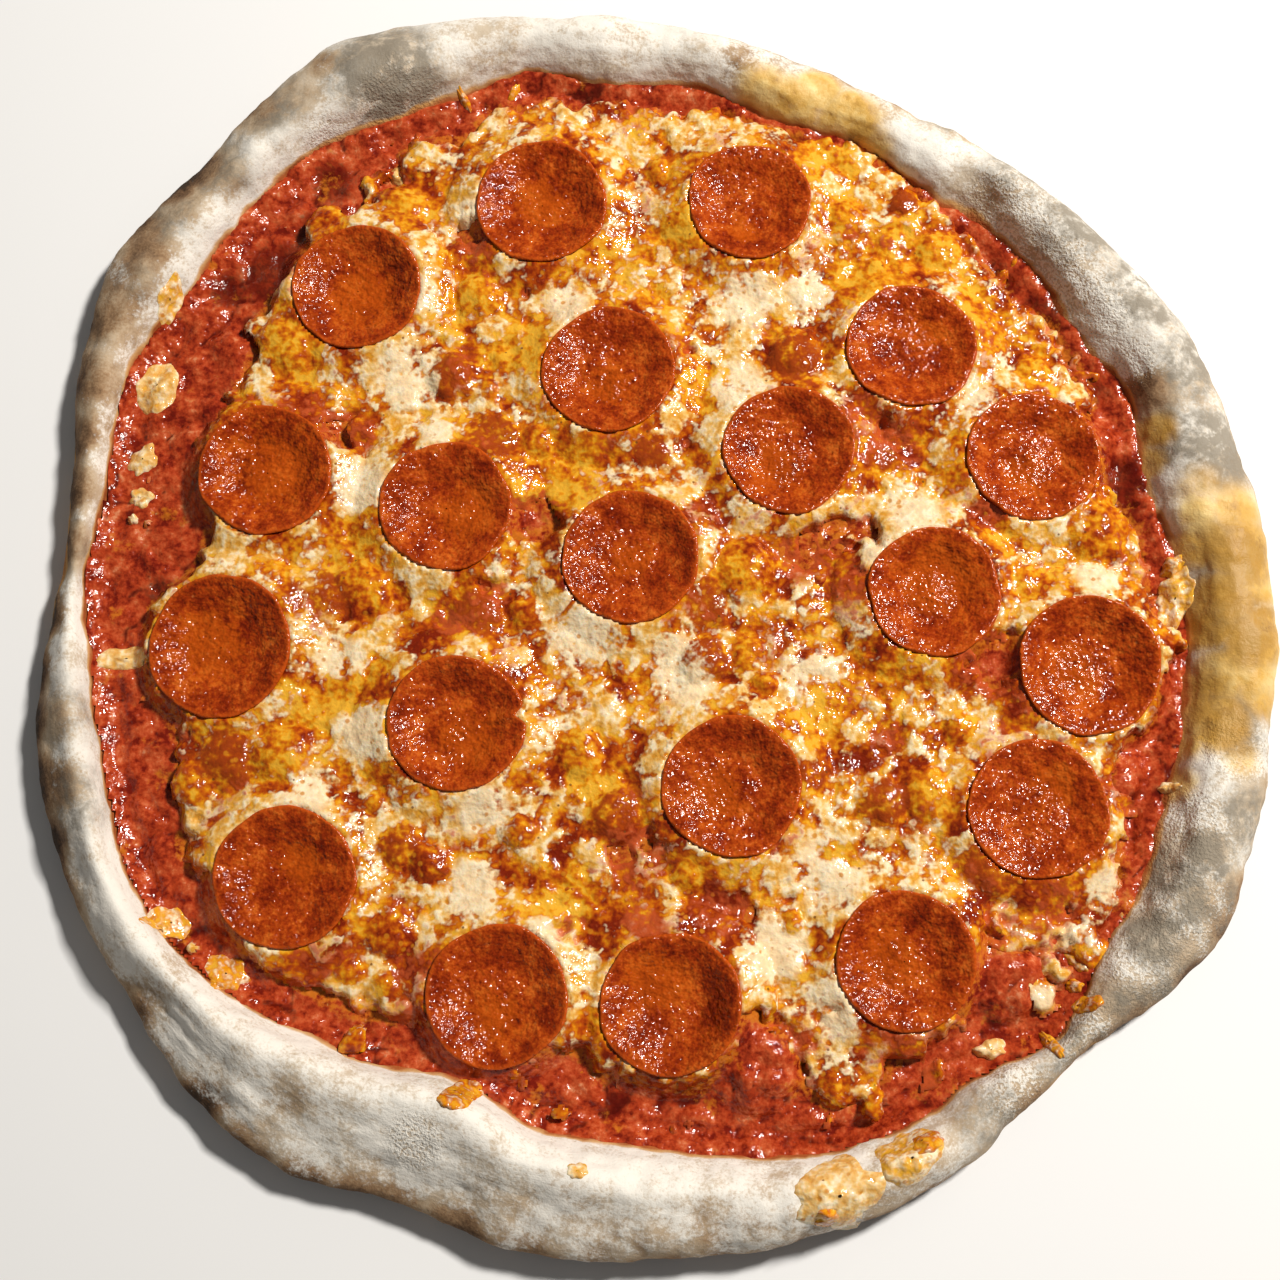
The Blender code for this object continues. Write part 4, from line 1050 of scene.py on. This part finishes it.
class Slice:
    """One slice as the frame has it: its place, its size and how its edge curls."""

    def __init__(self, name, obj):
        self.name = name
        self.number = int(name[-2:])
        low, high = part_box(name)
        self.x = (low.x + high.x) / 2 / MM
        self.y = (low.y + high.y) / 2 / MM
        self.seat = low.z / MM
        self.radius = (high.x - low.x + high.y - low.y) / 4 / MM
        skin = skin_of(obj)
        self.turn = np.arange(SLICE_AROUND) * TAU / SLICE_AROUND
        top = []
        for angle in self.turn:
            x = self.x + LIP_SHARE * self.radius * math.cos(angle)
            y = self.y + LIP_SHARE * self.radius * math.sin(angle)
            top.append(top_of(skin, x, y))
        centre_top = top_of(skin, self.x, self.y)
        self.thick = centre_top - self.seat
        around = flat_points(np.cos(self.turn), np.sin(self.turn), self.number * 3.7)
        self.rise = CURL * (blur(np.array(top), 5, 0, "wrap") - centre_top)
        self.rise += 0.55 * noise(around, 0.7, 82) + 0.25 * noise(around, 0.3, 83)
        self.uneven = 1 + 0.045 * noise(around, 0.9, 80) + 0.022 * noise(around, 0.35, 81)
        if self.number in TEARS:
            azimuth, depth, half = TEARS[self.number]
            off = np.abs((np.degrees(self.turn) - azimuth + 180) % 360 - 180)
            self.uneven -= depth / self.radius * span(half, 0, off)

    def bend(self, share):
        """Share of the curl that a ring at a share of the radius has."""
        return span(0.40, 1.04, share) / span(0.40, 1.04, LIP_SHARE)

    def at(self, x, y, values):
        """The value of a measure of the slice's edge in the direction of each place."""
        return in_direction(x - self.x, y - self.y, values)

    def distance(self, x, y):
        """Distance beyond the slice's edge, negative on the slice."""
        return np.hypot(x - self.x, y - self.y) - self.radius * self.at(x, y, self.uneven)

    def underside(self, x, y):
        """Height of the slice's underside, very high beyond its edge."""
        share = 1 + self.distance(x, y) / self.radius
        height = self.seat + self.at(x, y, self.rise) * self.bend(share)
        return np.where(share < 1.01, height, NOWHERE)

    def bank(self, x, y):
        """Height of the cheese that rises round the slice, zero far from it."""
        beyond = self.distance(x, y)
        lip = self.seat + self.thick + self.at(x, y, self.rise) - BANK_BELOW_LIP
        return np.where(np.abs(beyond) < BANK_REACH, lip - BANK_FALL * np.maximum(beyond, 0), 0.0)

    def ring(self, share, lift, relief):
        """A ring of corners at a share of the radius, lifted above the underside."""
        reach = self.radius * share * self.uneven
        x = self.x + reach * np.cos(self.turn)
        y = self.y + reach * np.sin(self.turn)
        z = self.seat + lift + self.rise * self.bend(share)
        if relief:
            points = flat_points(x, y, self.number * 11.0)
            folds = np.stack([self.turn * 2.2, np.full(SLICE_AROUND, share * 2), points[:, 2]], axis=1)
            bumps = 0.52 * noise(points, 9, 84) + 0.15 * noise(points, 4.2, 85)
            bumps += 0.13 * noise(points, 2.1, 86) + 0.08 * noise(points, 1.1, 87)
            z = z + bumps * (0.30 + 0.70 * span(1.02, 0.75, share))
            z = z + 0.30 * noise(folds, 0.5, 89) * span(0.45, 0.85, share)
        return np.stack([x, y, z], axis=1)


def make_slice(piece, mat):
    """The mesh of a slice, with wrinkles, bumps and a thin lip."""
    lip = piece.thick - LIP_THIN
    rows = [piece.ring(share, lip * lift, False) for share, lift in EDGE_RINGS]
    top_shares = np.linspace(0.968, 0.01, SLICE_RINGS)
    for share in top_shares:
        rows.append(piece.ring(share, piece.thick - LIP_THIN * span(0.55, 1.0, share), True))
    corners = np.concatenate(rows)
    shares = [share for share, _ in EDGE_RINGS] + list(top_shares)
    faces = grid_faces(len(rows), SLICE_AROUND, True)
    on_top = np.arange(len(corners)) >= len(EDGE_RINGS) * SLICE_AROUND
    shift_x, shift_y, size = POOLS[piece.number]
    away_x = (corners[:, 0] - piece.x) / piece.radius - shift_x
    away_y = (corners[:, 1] - piece.y) / piece.radius - shift_y
    pool = span(1.5, 0.3, np.hypot(away_x, away_y) / size) * on_top
    attributes = {"edge": np.repeat(shares, SLICE_AROUND), "pool": pool}
    obj = new_piece(f"slice_{piece.number:02d}", corners, faces, mat, attributes)
    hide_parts(piece.name)


# ---------------------------------------------------------------- cheese on the rim

BIT_AROUND = 36
BIT_RINGS = 12
BIT_SUNK = 0.35
BIT_GROUND = 5  # stands in for the ground where a ray meets none


def make_rim_cheese(crust, sauce):
    """Drops, strings and toasted crumbs of cheese that lie on the bread and the sauce at its foot."""
    skins = [skin_of(crust), skin_of(sauce)]
    angle = np.arange(BIT_AROUND) * TAU / BIT_AROUND
    corners, faces, tan, amber = [], [], [], []
    for number, row in enumerate(RIM_BITS):
        centre_x, centre_y, long, wide, azimuth, high, tan_share, amber_share = row
        turn = math.radians(azimuth)
        flow = flat_points(np.cos(angle) * 2, np.sin(angle) * 2, centre_x)
        uneven = 1 + 0.28 * noise(flow, 1.1, 90)
        for ring in range(BIT_RINGS):
            share = 1 - ring / (BIT_RINGS - 0.5)
            along = long * share * uneven * np.cos(angle)
            across = wide * share * uneven * np.sin(angle)
            x = centre_x + along * math.cos(turn) - across * math.sin(turn)
            y = centre_y + along * math.sin(turn) + across * math.cos(turn)
            ground = [max(top_of(skin, *place) or BIT_GROUND for skin in skins) for place in zip(x, y)]
            swell = (1 - share**2) ** 0.6
            lumps = 1 + 0.35 * noise(flat_points(x, y), 2.6, 91)
            z = np.array(ground) - BIT_SUNK + (high + BIT_SUNK) * swell * lumps
            corners.append(np.stack([x, y, z], axis=1))
            tan.append(np.full(BIT_AROUND, tan_share) * share)
            amber.append(np.full(BIT_AROUND, amber_share))
        faces.append(grid_faces(BIT_RINGS, BIT_AROUND, True) + number * BIT_AROUND * BIT_RINGS)
    corners = np.concatenate(corners)
    amber, tan = np.concatenate(amber), np.concatenate(tan)
    none = np.zeros(len(corners))
    attributes = {
        "cream": 1.05 - 0.85 * amber,
        "browning_and_hollow_shade": 0.02 + 0.34 * amber,
        "rust": 0.5 * tan,
        "pale": 0.3 + none,
        "blush": none,
    }
    mat = cheese_material("rim_cheese")
    bits = new_piece("rim_cheese", corners, np.concatenate(faces), mat, attributes)


# ---------------------------------------------------------------- the scene around it

# Metres, watts and radians.
FLOOR_REACH = 3.0
FLOOR_LEVEL = -0.0004
LIGHT_AZIMUTH = math.radians(34)
LIGHT_ELEVATION = math.radians(51)
LIGHT_DISTANCE = 1.4
LIGHT_SIZE = 0.17
LIGHT_POWER = 26.4
SURROUND_STRENGTH = 0.13
CAMERA_TILT = math.radians(13)
CAMERA_DISTANCE = 0.490
CAMERA_TARGET = (-0.0046, -0.0132, 0.007)
FOCAL_PIXELS = 1832
PICTURE_PIXELS = 1280


def add_object(name, data):
    """A new object in the scene."""
    obj = bpy.data.objects.new(name, data)
    bpy.context.scene.collection.objects.link(obj)
    return obj


def make_floor():
    """A plain pale floor."""
    shade = Shade("pale_floor")
    data = bpy.data.meshes.new("floor")
    square = ((-1, -1), (1, -1), (1, 1), (-1, 1))
    corners = [(x * FLOOR_REACH, y * FLOOR_REACH, FLOOR_LEVEL) for x, y in square]
    data.from_pydata(corners, [], [(0, 1, 2, 3)])
    data.materials.append(shade.set(Base_Color=(0.86, 0.86, 0.86), Roughness=0.9, Specular_IOR_Level=0.1))
    add_object("floor", data)


def light_scene():
    """Soft daylight from the far right, and an even pale surround."""
    lamp = bpy.data.lights.new("key_light", "AREA")
    lamp.size = LIGHT_SIZE
    lamp.energy = LIGHT_POWER
    lamp.color = (1.0, 0.96, 0.90)
    key = add_object("key_light", lamp)
    level = math.cos(LIGHT_ELEVATION)
    place = (level * math.cos(LIGHT_AZIMUTH), level * math.sin(LIGHT_AZIMUTH), math.sin(LIGHT_ELEVATION))
    key.location = Vector(place) * LIGHT_DISTANCE
    key.rotation_euler = (-key.location).to_track_quat("-Z", "Y").to_euler()
    world = bpy.data.worlds.new("surround")
    world.use_nodes = True
    background = world.node_tree.nodes["Background"]
    background.inputs["Color"].default_value = (1.0, 0.97, 0.93, 1.0)
    background.inputs["Strength"].default_value = SURROUND_STRENGTH
    bpy.context.scene.world = world
    bpy.context.scene.view_settings.view_transform = "Standard"
    bpy.context.scene.view_settings.look = "None"


def place_camera():
    """Look down on the pizza from its near side."""
    lens = bpy.data.cameras.new("camera")
    lens.sensor_width = 36.0
    lens.lens = FOCAL_PIXELS / PICTURE_PIXELS * lens.sensor_width
    lens.clip_start = 0.01
    camera = add_object("camera", lens)
    back = Vector((0, -math.sin(CAMERA_TILT), math.cos(CAMERA_TILT))) * CAMERA_DISTANCE
    camera.location = Vector(CAMERA_TARGET) + back
    camera.rotation_euler = (CAMERA_TILT, 0, 0)
    bpy.context.scene.camera = camera


def main():
    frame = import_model()
    nodes = frame["nodes"]
    crust_skin = skin_of(nodes["crust"])
    rim = Rim(crust_skin)
    crust = make_crust(crust_skin, rim)
    slices = [Slice(name, nodes[name]) for name in sorted(nodes) if name.startswith("pepperoni_")]
    cover, cover_columns = make_cheese(skin_of(nodes["cheese"]), rim, slices)
    sauce = make_sauce(rim, crust, slices, cover, cover_columns)
    cured_meat = pepperoni_material()
    for piece in slices:
        make_slice(piece, cured_meat)
    make_rim_cheese(crust, sauce)
    make_floor()
    light_scene()
    place_camera()


main()
